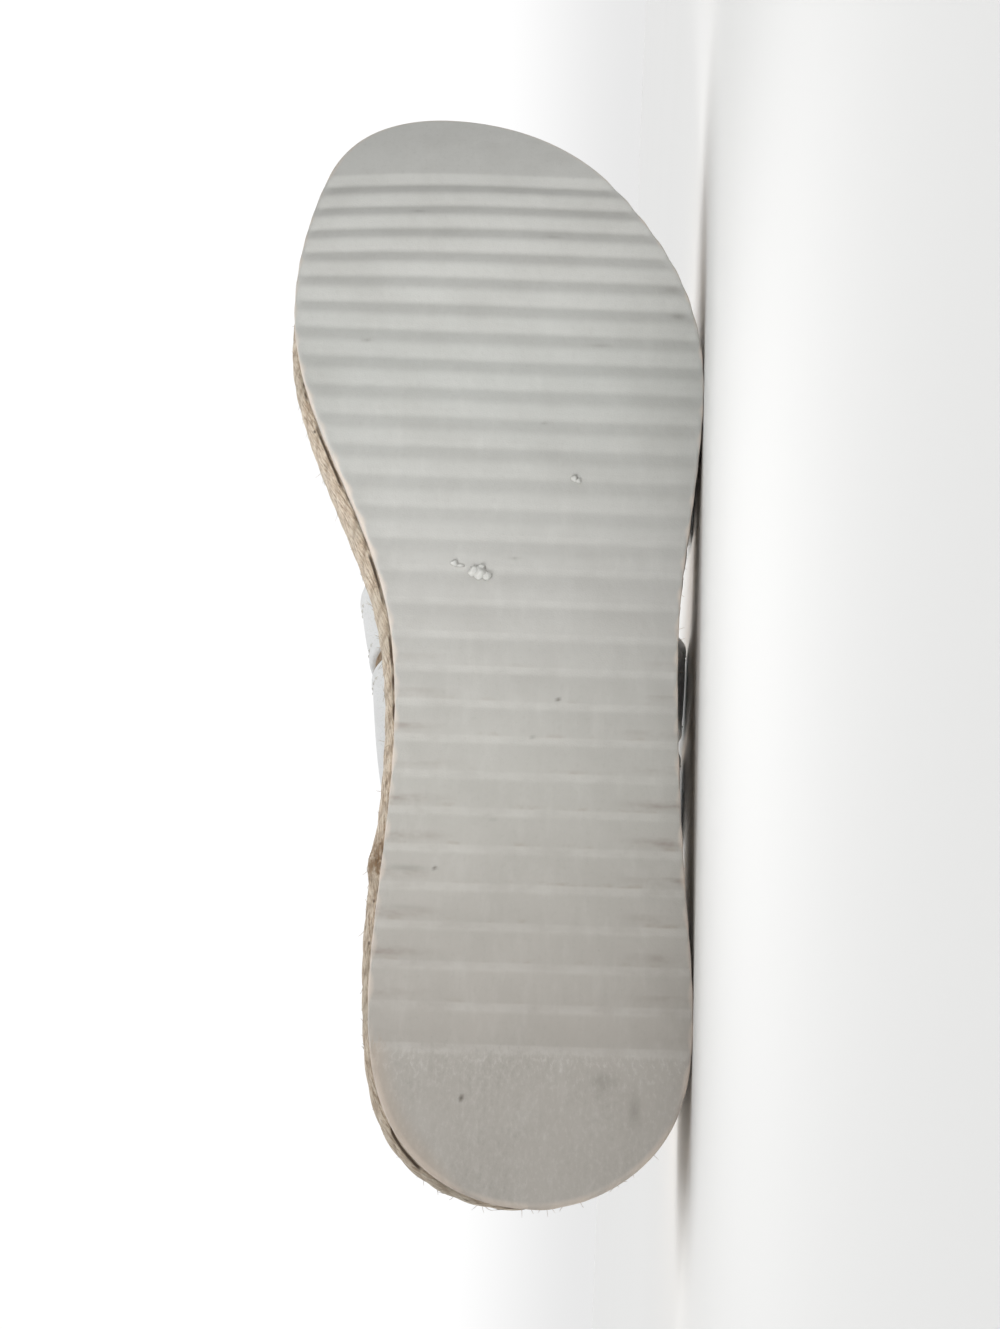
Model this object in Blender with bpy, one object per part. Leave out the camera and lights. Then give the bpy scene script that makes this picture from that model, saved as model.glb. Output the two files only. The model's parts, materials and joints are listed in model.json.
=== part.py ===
"""Espadrille wedge sandal for the left foot, lying on its outer side.

Pieces: a ribbed rubber outsole, a wedge wound with rows of jute cord, a leather insole,
a broad toe band and two instep straps. The shoe is drawn standing, in millimetres from the
back of the heel, with the toe along +X, the outer side along +Y and the ground at Z = 0.
Then one empty lays it down on the face of its hull that is under its weight.
"""

import math

import bmesh
import bpy
import numpy as np
from mathutils import Matrix

MM = 0.001
NAME = "espadrille_wedge_sandal"

# The sole
LENGTH = 260.0
OUTSOLE_THICK = 5.0
OUTSOLE_BEVEL = 0.8
EDGE_BAND = 1.8
SPRING_START = 199.0
SPRING_RADIUS = 159.0
RIB_START = 23.6
RIB_COUNT = 28
RIB_PITCH = 7.62
RIB_DEPTH_HEEL = 0.55
RIB_DEPTH_TOE = 1.0
RIB_STEPS = 6

# The wedge
GAP = 0.3
CORD_PITCH = 5.0
CORD_ROWS = 8
CORD_BULGE = 0.8
RIM_HEIGHT = 4.5
RIM_LAP = 1.0
RIM_ROUND = 0.9
INNER_LEAN = 0.05
OUTLINE_STEPS = 46

# The insole and the straps
RIM_WIDTH = 3.3
INSOLE_THICK = 4.0
INSOLE_ROUND = 1.0
STRAP_THICK = 2.0
STRAP_INSET = 3.0
LAST_ROUND = 2.6
GIRTH_STEPS = 40
WIDTH_STEPS = 5

# The sole's outline: along from the heel, then the inner and the outer edge beside the heel's middle
SOLE_COLUMNS = ("along", "inner", "outer")
SOLE = (
    (0.0, 0.5, 0.5),
    (5.0, -17.2, 17.3),
    (14.0, -25.8, 26.2),
    (30.0, -30.7, 30.7),
    (60.0, -30.3, 30.0),
    (95.0, -29.3, 29.3),
    (122.0, -33.4, 30.5),
    (142.0, -41.0, 33.3),
    (161.0, -49.6, 35.8),
    (180.0, -56.2, 36.9),
    (200.0, -58.0, 33.6),
    (222.0, -55.6, 23.8),
    (240.0, -51.2, 12.2),
    (252.0, -43.8, -0.6),
    (260.0, -25.0, -25.0),
)

# How far the jute stands out past the outsole: most along the arch, least along the outer side
OVERHANG_COLUMNS = ("along", "inner", "outer")
OVERHANG = (
    (0.0, 0.3, 0.3),
    (4.0, 1.6, 0.3),
    (12.0, 2.2, 0.3),
    (30.0, 1.6, 0.4),
    (60.0, 2.4, 0.5),
    (95.0, 2.5, 0.7),
    (125.0, 3.0, 0.8),
    (150.0, 2.9, 0.7),
    (172.0, 2.5, 0.5),
    (195.0, 0.7, 0.4),
    (225.0, 0.4, 0.4),
    (260.0, 0.4, 0.4),
)

# The top of the jute above the ground, before the toe spring is added
WEDGE_COLUMNS = ("along", "height")
WEDGE = (
    (0.0, 44.0),
    (40.0, 43.5),
    (80.0, 39.0),
    (120.0, 31.5),
    (155.0, 25.0),
    (185.0, 21.5),
    (220.0, 20.0),
    (260.0, 19.5),
)

# The last above the jute's top: its height, where its crest is between the inner root (0)
# and the outer root (1), and how far its sides swell past those roots
LAST_COLUMNS = ("along", "height", "crest", "inner_swell", "outer_swell")
LAST = (
    (70.0, 76.0, 0.47, 0.5, 9.0),
    (95.0, 70.0, 0.46, 6.8, 9.5),
    (120.0, 61.0, 0.44, 6.0, 9.0),
    (145.0, 52.0, 0.42, 2.0, 6.5),
    (170.0, 45.0, 0.40, 0.2, 4.0),
    (195.0, 39.0, 0.39, 0.8, 3.2),
    (220.0, 32.0, 0.38, 1.0, 2.5),
    (240.0, 27.0, 0.38, 0.8, 2.0),
)

# Each strap's front and rear edge: along at the inner root, over the crest and at the outer root
STRAP_COLUMNS = ("name", "front_inner", "front_crest", "front_outer", "rear_inner", "rear_crest", "rear_outer")
STRAPS = (
    ("toe_band", 225.0, 221.0, 205.0, 169.0, 170.0, 152.0),
    ("instep_strap_front", 137.0, 134.0, 128.0, 122.5, 112.5, 106.0),
    ("instep_strap_rear", 120.0, 109.5, 102.0, 88.0, 83.0, 79.0),
)

# Grams in a cubic centimetre
DENSITY = {
    "outsole": 0.95,
    "jute_wedge": 0.26,
    "insole": 0.45,
    "toe_band": 0.9,
    "instep_strap_front": 0.9,
    "instep_strap_rear": 0.9,
}

RUBBER_GREY = (0.52, 0.51, 0.48)
JUTE_TAN = (0.55, 0.43, 0.30)
INSOLE_TAN = (0.62, 0.48, 0.34)
LEATHER_WHITE = (0.80, 0.80, 0.79)


def column(rows, names, name):
    """One named column of a table."""
    return np.array([row[names.index(name)] for row in rows])


def curve(knots, values, at):
    """A natural cubic curve through the values at the knots, read at the given places."""
    at = np.asarray(at, float)
    gap = np.diff(knots)
    slope = np.diff(values) / gap
    system = np.eye(len(knots))
    right = np.zeros(len(knots))
    for i in range(1, len(knots) - 1):
        system[i, i - 1 : i + 2] = gap[i - 1], 2 * (gap[i - 1] + gap[i]), gap[i]
        right[i] = 6 * (slope[i] - slope[i - 1])
    bend = np.linalg.solve(system, right)
    i = np.clip(np.searchsorted(knots, at) - 1, 0, len(gap) - 1)
    ahead = knots[i + 1] - at
    behind = at - knots[i]
    cubic = (bend[i] * ahead**3 + bend[i + 1] * behind**3) / (6 * gap[i])
    from_start = (values[i] / gap[i] - bend[i] * gap[i] / 6) * ahead
    from_end = (values[i + 1] / gap[i] - bend[i + 1] * gap[i] / 6) * behind
    return cubic + from_start + from_end


def turn(along):
    """The angle round a half circle from heel to toe, so that round ends stay smooth."""
    return np.arccos(np.clip(1 - 2 * np.asarray(along, float) / LENGTH, -1, 1))


def sole_edge(name, along):
    """The inner or the outer edge of the outsole."""
    knots = turn(column(SOLE, SOLE_COLUMNS, "along"))
    return curve(knots, column(SOLE, SOLE_COLUMNS, name), turn(along))


def overhang(name, along):
    """How far the jute stands out past the outsole on the inner or the outer side."""
    knots = turn(column(OVERHANG, OVERHANG_COLUMNS, "along"))
    return curve(knots, column(OVERHANG, OVERHANG_COLUMNS, name), turn(along))


def lift(along):
    """The toe spring: an arc that leaves the ground at its start."""
    run = np.clip(np.asarray(along, float) - SPRING_START, 0, None)
    return SPRING_RADIUS - np.sqrt(SPRING_RADIUS**2 - run**2)


def jute_top(along):
    """The height of the jute's top edge."""
    knots = column(WEDGE, WEDGE_COLUMNS, "along")
    heights = column(WEDGE, WEDGE_COLUMNS, "height")
    return curve(knots, heights, np.clip(along, 0, LENGTH)) + lift(along)


def lean(along, height):
    """How far the jute's inner side leans in at a height."""
    rise = np.clip(height - lift(along) - OUTSOLE_THICK - GAP, 0, None)
    return INNER_LEAN * rise * np.sin(turn(along))


def outline(out):
    """The jute's outline moved out: heel end, inner side, toe end, then the outer side back."""
    angle = np.linspace(0, math.pi, OUTLINE_STEPS + 1)
    along = LENGTH * (1 - np.cos(angle)) / 2
    inner = np.stack([along, sole_edge("inner", along)], axis=1)
    outer = np.stack([along, sole_edge("outer", along)], axis=1)
    ring = np.concatenate([inner, outer[-2:0:-1]])
    run = np.roll(ring, -1, axis=0) - np.roll(ring, 1, axis=0)
    normal = np.stack([run[:, 1], -run[:, 0]], axis=1)
    normal /= np.linalg.norm(normal, axis=1, keepdims=True)
    past = np.concatenate([overhang("inner", along), overhang("outer", along)[-2:0:-1]])
    return ring + (past + out)[:, None] * normal


def ring_at(out, height):
    """The outline moved out, at a height that is a function of along, with its inner side leaning in."""
    ring = outline(out)
    tall = height(ring[:, 0])
    inner = slice(0, OUTLINE_STEPS + 1)
    ring[inner, 1] += lean(ring[inner, 0], tall[inner])
    return np.column_stack([ring, tall])


def groove(place):
    """The share of the groove's depth from one crest (0) to the next (1): two even slopes."""
    return 0.5 - (np.cos(2 * math.pi * place) + np.cos(6 * math.pi * place) / 9) * 0.45


def shape(name, points, faces):
    """A mesh object in the shoe's own frame, with its faces turned outward."""
    mesh = bpy.data.meshes.new(name)
    mesh.from_pydata((np.asarray(points) * MM).tolist(), [], faces)
    solid = bmesh.new()
    solid.from_mesh(mesh)
    bmesh.ops.recalc_face_normals(solid, faces=solid.faces)
    solid.to_mesh(mesh)
    solid.free()
    return bpy.data.objects.new(name, mesh)


def belt(levels, count):
    """The faces between closed rings that follow one another."""
    faces = []
    for level in range(levels - 1):
        for i in range(count):
            j = (i + 1) % count
            low = level * count
            faces.append((low + i, low + j, low + count + j, low + count + i))
    return faces


def loft(name, sections):
    """A solid through closed sections, with a flat end on the first and on the last."""
    levels, count = sections.shape[:2]
    faces = belt(levels, count)
    faces.append(tuple(range(count)))
    faces.append(tuple(range((levels - 1) * count, levels * count)))
    return shape(name, sections.reshape(-1, 3), faces)


def stack(name, rings):
    """A solid through rings of the outline, closed below and above by strips across the shoe."""
    levels, count = len(rings), len(rings[0])
    faces = belt(levels, count)
    half = count // 2
    for start in (0, (levels - 1) * count):
        for i in range(half):
            strip = (i, i + 1, count - i - 1, (count - i) % count)
            faces.append(tuple(start + k for k in dict.fromkeys(strip)))
    return shape(name, np.concatenate(rings), faces)


def outsole():
    """Sections across the sole, close enough along it to draw each rib."""
    first = RIB_START
    last = RIB_START + RIB_COUNT * RIB_PITCH
    arc = np.linspace(first, last, RIB_COUNT * RIB_STEPS + 1)
    bend = np.clip(arc - SPRING_START, 0, None) / SPRING_RADIUS
    ribs = np.minimum(arc, SPRING_START) + SPRING_RADIUS * np.sin(bend)
    depth = RIB_DEPTH_HEEL + (RIB_DEPTH_TOE - RIB_DEPTH_HEEL) * (arc - first) / (last - first)
    ribbed = depth * groove((arc - first) / RIB_PITCH)
    heel = first * (1 - np.cos(np.linspace(0.08, math.pi / 2, 14)))
    toe = ribs[-1] + (LENGTH - ribs[-1]) * np.sin(np.linspace(0, math.pi / 2 - 0.08, 14))
    along = np.concatenate([heel[:-1], ribs, toe[1:]])
    cut = np.concatenate([np.zeros(len(heel) - 1), ribbed, np.zeros(len(toe) - 1)])
    inner, outer = sole_edge("inner", along), sole_edge("outer", along)
    bevel = np.minimum(OUTSOLE_BEVEL, 0.2 * (outer - inner))
    low = lift(along)
    corners = (
        (inner + bevel, low + cut),
        (inner, low + EDGE_BAND),
        (inner, low + OUTSOLE_THICK),
        (outer, low + OUTSOLE_THICK),
        (outer, low + EDGE_BAND),
        (outer - bevel, low + cut),
    )
    sections = np.stack([np.stack([along, side, height], axis=1) for side, height in corners], axis=1)
    return loft("outsole", sections)


def jute_wedge(cutters):
    """Rows of cord on the outsole, cut under a rim row that follows the footbed."""
    low = OUTSOLE_THICK + GAP
    rings = [ring_at(-CORD_BULGE, lambda along: lift(along) + low)]
    for row in range(CORD_ROWS):
        for part, swell in ((0.25, 0.0), (0.75, 0.0), (1.0, -CORD_BULGE)):
            level = low + (row + part) * CORD_PITCH
            rings.append(ring_at(swell, lambda along, level=level: lift(along) + level))
    body = stack("jute_wedge", rings)

    trim = RIM_HEIGHT
    rim_rings = (
        ring_at(-2 * CORD_BULGE, lambda along: jute_top(along) - trim - RIM_LAP),
        ring_at(0, lambda along: jute_top(along) - trim + RIM_LAP / 2),
        ring_at(0, lambda along: jute_top(along) - RIM_ROUND),
        ring_at(-RIM_ROUND, jute_top),
    )
    rim = stack("rim_row", rim_rings)
    over = stack(
        "footbed_cut",
        (
            ring_at(6, lambda along: jute_top(along) - trim),
            ring_at(6, lambda along: jute_top(along) + 40),
        ),
    )
    for operation, helper in (("DIFFERENCE", over), ("UNION", rim)):
        helper.hide_render = True
        helper.display_type = "WIRE"
        cutters.objects.link(helper)
        change = body.modifiers.new(helper.name, "BOOLEAN")
        change.operation = operation
        change.solver = "EXACT"
        change.object = helper
    return body, (over, rim)


def insole():
    """A pad inside the roots of the straps, with a rounded upper edge."""
    edge = -RIM_WIDTH
    rings = (
        ring_at(edge, lambda along: jute_top(along) + GAP),
        ring_at(edge, lambda along: jute_top(along) + GAP + INSOLE_THICK - INSOLE_ROUND),
        ring_at(edge - INSOLE_ROUND, lambda along: jute_top(along) + GAP + INSOLE_THICK),
    )
    return stack("insole", rings)


def last_point(along, girth):
    """The last's surface: girth goes from the inner root (0) over the crest to the outer root (1)."""
    knots = column(LAST, LAST_COLUMNS, "along")
    height, crest, inner_swell, outer_swell = (
        curve(knots, column(LAST, LAST_COLUMNS, name), along) for name in LAST_COLUMNS[1:]
    )
    inner = sole_edge("inner", along) - overhang("inner", along) + STRAP_INSET
    inner += lean(along, jute_top(along))
    outer = sole_edge("outer", along) + overhang("outer", along) - STRAP_INSET
    top = inner + crest * (outer - inner)
    angle = math.pi * girth
    rise = np.sin(np.clip(angle, 0, math.pi)) ** (2 / LAST_ROUND)
    reach = np.abs(np.cos(angle)) ** (2 / LAST_ROUND)
    swell = 6.75 * rise * (1 - rise) ** 2
    on_inner = girth < 0.5
    side = np.where(
        on_inner,
        top - reach * (top - inner) - swell * inner_swell,
        top + reach * (outer - top) + swell * outer_swell,
    )
    return np.stack([along, side, jute_top(along) + GAP + rise * height], axis=-1)


def strap(row):
    """A band of even thickness on the last, from root to root."""
    get = dict(zip(STRAP_COLUMNS, row))
    # Even steps along a section need closer angles near the roots, where the sides are steep
    even = np.linspace(0, 1, GIRTH_STEPS + 1)
    girth = (even - 0.055 * np.sin(2 * math.pi * even))[:, None]
    across = np.linspace(0, 1, WIDTH_STEPS + 1)[None, :]

    def edge(which, place):
        inner, crest, outer = (get[f"{which}_{end}"] for end in ("inner", "crest", "outer"))
        bow = crest - (inner + outer) / 2
        return inner + (outer - inner) * place + bow * np.sin(math.pi * place) ** 2

    def surface(place, share):
        along = edge("front", place) * (1 - share) + edge("rear", place) * share
        return last_point(along, place + 0 * share)

    inside = surface(girth, across)
    by_girth = np.gradient(inside, axis=0)
    by_width = np.gradient(inside, axis=1)
    normal = np.cross(by_girth, by_width)
    normal /= np.linalg.norm(normal, axis=2, keepdims=True)
    # The roots stand flat on the rim
    settle = np.clip(np.sin(math.pi * girth) / 0.35, 0, 1)
    normal[..., 2] *= settle
    normal /= np.linalg.norm(normal, axis=2, keepdims=True)
    centre = inside.mean(axis=(0, 1))
    if (normal * (inside - centre)).sum() < 0:
        normal = -normal
    outside = inside + STRAP_THICK * normal
    sections = np.concatenate([outside, inside[:, ::-1]], axis=1)
    return loft(get["name"], sections)


def finish(solid, colour, roughness):
    """The piece's own plain material."""
    material = bpy.data.materials.new(solid.name + "_finish")
    material.use_nodes = True
    shader = material.node_tree.nodes["Principled BSDF"]
    shader.inputs["Base Color"].default_value = (*colour, 1.0)
    shader.inputs["Roughness"].default_value = roughness
    solid.data.materials.append(material)


def measure(solids):
    """All points of the pieces, and the centre of their weight."""
    bpy.context.view_layer.update()
    graph = bpy.context.evaluated_depsgraph_get()
    clouds, weights, moments = [], [], []
    for solid in solids:
        mesh = solid.evaluated_get(graph).to_mesh()
        mesh.calc_loop_triangles()
        points = np.array([vertex.co[:] for vertex in mesh.vertices])
        corners = points[np.array([tri.vertices[:] for tri in mesh.loop_triangles])]
        volume = np.linalg.det(corners) / 6
        clouds.append(points)
        weights.append(DENSITY[solid.name] * volume.sum())
        moments.append(DENSITY[solid.name] * (volume[:, None] * corners.mean(axis=1) * 0.75).sum(axis=0))
    return np.concatenate(clouds), np.sum(moments, axis=0) / np.sum(weights)


def floor_side(points, centre):
    """The direction out of the hull's outer side, on the lowest face that holds the weight's centre."""
    hull = bmesh.new()
    for point in points:
        hull.verts.new(point)
    bmesh.ops.convex_hull(hull, input=hull.verts, use_existing_faces=False)
    best = None
    for face in hull.faces:
        a, b, c = (np.array(vertex.co) for vertex in face.verts[:3])
        down = np.cross(b - a, c - a)
        down /= max(np.linalg.norm(down), 1e-12)
        if down @ (a - centre) < 0:
            down = -down
        if down[1] < 0.9:
            continue
        height = down @ (a - centre)
        foot = centre + down * height - a
        share = np.linalg.lstsq(np.column_stack([b - a, c - a]), foot, rcond=None)[0]
        holds = min(share[0], share[1], 1 - share.sum()) > 0
        if holds and (best is None or height < best[0]):
            best = (height, down)
    hull.free()
    return best[1]


def lay_down(holder, solids):
    """Turns the shoe on its outer side, with its box centred over the origin and on the floor."""
    points, centre = measure(solids)
    up = -floor_side(points, centre)
    toe = np.array([1.0, 0.0, 0.0]) - up[0] * up
    toe /= np.linalg.norm(toe)
    turned = np.stack([toe, np.cross(up, toe), up])
    laid = points @ turned.T
    low, high = laid.min(axis=0), laid.max(axis=0)
    move = -(low + high) / 2
    move[2] = -low[2]
    place = Matrix(turned.tolist()).to_4x4()
    place.translation = move.tolist()
    holder.matrix_world = place


def main():
    for old in list(bpy.data.objects):
        bpy.data.objects.remove(old)
    shoe = bpy.data.collections.new(NAME)
    cutters = bpy.data.collections.new("cutters")
    for collection in (shoe, cutters):
        bpy.context.scene.collection.children.link(collection)
    holder = bpy.data.objects.new("lying_shoe", None)
    shoe.objects.link(holder)

    wedge, helpers = jute_wedge(cutters)
    pieces = [(outsole(), RUBBER_GREY, 0.6), (wedge, JUTE_TAN, 0.9), (insole(), INSOLE_TAN, 0.6)]
    pieces += [(strap(row), LEATHER_WHITE, 0.5) for row in STRAPS]
    solids = [solid for solid, _, _ in pieces]
    for solid, colour, roughness in pieces:
        shoe.objects.link(solid)
        finish(solid, colour, roughness)
    lay_down(holder, solids)
    for solid in (*solids, *helpers):
        solid.parent = holder


main()
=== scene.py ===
"""Looks of an espadrille wedge sandal for the left foot, lying on its outer side.

Every shape is worked out in the shoe's own millimetres, as it stands: along from the back of the
heel (+X is the toe), across from the middle of the heel (+Y is the outer side) and up from the
ground. One place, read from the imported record, then lays all points down where the solids lie.
"""

import json
import logging
import math
from dataclasses import dataclass, field
from enum import Enum
from typing import Any, Callable, Optional, Sequence, Union

import bpy
import numpy as np
import numpy.typing as npt
from mathutils import Matrix, Vector

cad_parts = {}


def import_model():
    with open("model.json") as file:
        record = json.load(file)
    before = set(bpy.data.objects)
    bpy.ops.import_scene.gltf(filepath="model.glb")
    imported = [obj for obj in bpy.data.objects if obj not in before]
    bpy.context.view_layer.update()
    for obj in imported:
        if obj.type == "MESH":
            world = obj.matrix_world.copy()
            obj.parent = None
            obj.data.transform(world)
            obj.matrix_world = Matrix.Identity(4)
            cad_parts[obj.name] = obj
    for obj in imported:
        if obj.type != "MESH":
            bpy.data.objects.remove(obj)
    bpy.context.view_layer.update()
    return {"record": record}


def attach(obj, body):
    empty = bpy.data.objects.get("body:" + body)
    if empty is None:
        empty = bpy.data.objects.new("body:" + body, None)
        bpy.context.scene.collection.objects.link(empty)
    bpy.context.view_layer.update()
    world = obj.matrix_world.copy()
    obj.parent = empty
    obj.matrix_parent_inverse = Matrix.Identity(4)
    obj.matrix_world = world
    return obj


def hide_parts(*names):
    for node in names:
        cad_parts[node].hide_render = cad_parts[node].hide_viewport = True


Array = npt.NDArray[np.float64]
Numbers = npt.NDArray[np.int64]
Colour = tuple[float, float, float, float]
Material = bpy.types.Material
Socket = bpy.types.NodeSocket
Value = Union[Socket, float, Sequence[float]]

LOG = logging.getLogger("sandal")
MM = 0.001
BODY = "root"
# millimetres from the back of the heel to the heel pad's mount
MOUNT_ALONG = 15.0
# brings the last's swell to a height of one
SWELL_PEAK = 6.75
# crowds the columns of a fine face toward its edges
EDGE_CROWDING = 1.5
# columns of a plain face, and steps up a wall
PLAIN_COLUMNS = 9
WALL_STEPS = 4
# angle by which sections stop short of a ring's ends
END_ANGLE = 0.03
# the least number to divide by
TINY = 1e-9
# angle in degrees that leaves no edge sharp
SMOOTH = 180.0


def tone(red: int, green: int, blue: int) -> Colour:
    """A screen colour of 0 to 255 as the linear colour that shaders take.

    Args:
        red: Red of the screen colour.
        green: Green of the screen colour.
        blue: Blue of the screen colour.

    Returns:
        Linear red, green, blue and a full alpha.
    """
    share = np.array([red, green, blue]) / 255
    linear = np.where(share <= 0.04045, share / 12.92, ((share + 0.055) / 1.055) ** 2.4)
    return (*(float(part) for part in linear), 1.0)


def natural_curve(knots: Array, values: Array, at: Array) -> Array:
    """A natural cubic curve: straight at both ends, and smooth through every value.

    The bends at the knots solve one three-term row for each inner knot. Between two knots the
    curve is the cubic with those bends and values at its ends.

    Args:
        knots: Rising places.
        values: The value at each knot.
        at: Places to read, of any shape.

    Returns:
        The curve's values at those places.
    """
    at = np.asarray(at, float)
    gap = np.diff(knots)
    slope = np.diff(values) / gap
    inner = np.arange(1, len(knots) - 1)
    system = np.eye(len(knots))
    system[inner, inner - 1] = gap[:-1]
    system[inner, inner] = 2 * (gap[:-1] + gap[1:])
    system[inner, inner + 1] = gap[1:]
    right = np.zeros(len(knots))
    right[inner] = 6 * np.diff(slope)
    bend = np.linalg.solve(system, right)
    i = np.clip(np.searchsorted(knots, at) - 1, 0, len(gap) - 1)
    ahead, behind = knots[i + 1] - at, at - knots[i]
    cubic = (bend[i] * ahead**3 + bend[i + 1] * behind**3) / (6 * gap[i])
    start = (values[i] / gap[i] - bend[i] * gap[i] / 6) * ahead
    end = (values[i + 1] / gap[i] - bend[i + 1] * gap[i] / 6) * behind
    return cubic + start + end


def unit(vectors: Array) -> Array:
    """The vectors at length one."""
    return vectors / np.maximum(np.linalg.norm(vectors, axis=-1, keepdims=True), 1e-12)


def ease(share: Array) -> Array:
    """A soft step from 0 to 1."""
    share = np.clip(share, 0, 1)
    return share * share * (3 - 2 * share)


def hump(place: Array, middle: float, spread: float) -> Array:
    """A bell of height one round a middle."""
    return np.exp(-(((place - middle) / spread) ** 2))


def run_along(path: Array) -> Array:
    """The length of a path from its start to each point."""
    return np.concatenate([[0.0], np.cumsum(np.linalg.norm(np.diff(path, axis=0), axis=1))])


def read_along(at: Array, run: Array, rows: Array) -> Array:
    """Rows of numbers that belong to the places of a run, read at other places."""
    return np.stack([np.interp(at, run, column) for column in rows.T], axis=-1)


class Side(Enum):
    """The two sides of the shoe."""

    INNER = "inner"
    OUTER = "outer"


class Twist(Enum):
    """Which way the strands of a cord turn."""

    LEFT = -1.0
    RIGHT = 1.0


@dataclass(frozen=True)
class Ring:
    """A line round the shoe in plan, with the direction out of the shoe at each point."""

    plan: Array
    out: Array
    closed: bool

    def evened(self, step: float) -> "Ring":
        """The same line with points at even steps.

        Args:
            step: Wanted distance between points.

        Returns:
            The evened line.
        """
        plan, out = self.plan, self.out
        if self.closed:
            plan, out = np.vstack([plan, plan[:1]]), np.vstack([out, out[:1]])
        run = run_along(plan)
        count = max(int(round(run[-1] / step)), 8)
        at = np.linspace(0, run[-1], count, endpoint=not self.closed)
        return Ring(read_along(at, run, plan), unit(read_along(at, run, out)), self.closed)

    def length(self) -> float:
        """The length of the line."""
        last = self.plan[:1] if self.closed else self.plan[-1:]
        return float(np.linalg.norm(np.diff(np.vstack([self.plan, last]), axis=0), axis=1).sum())


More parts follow.
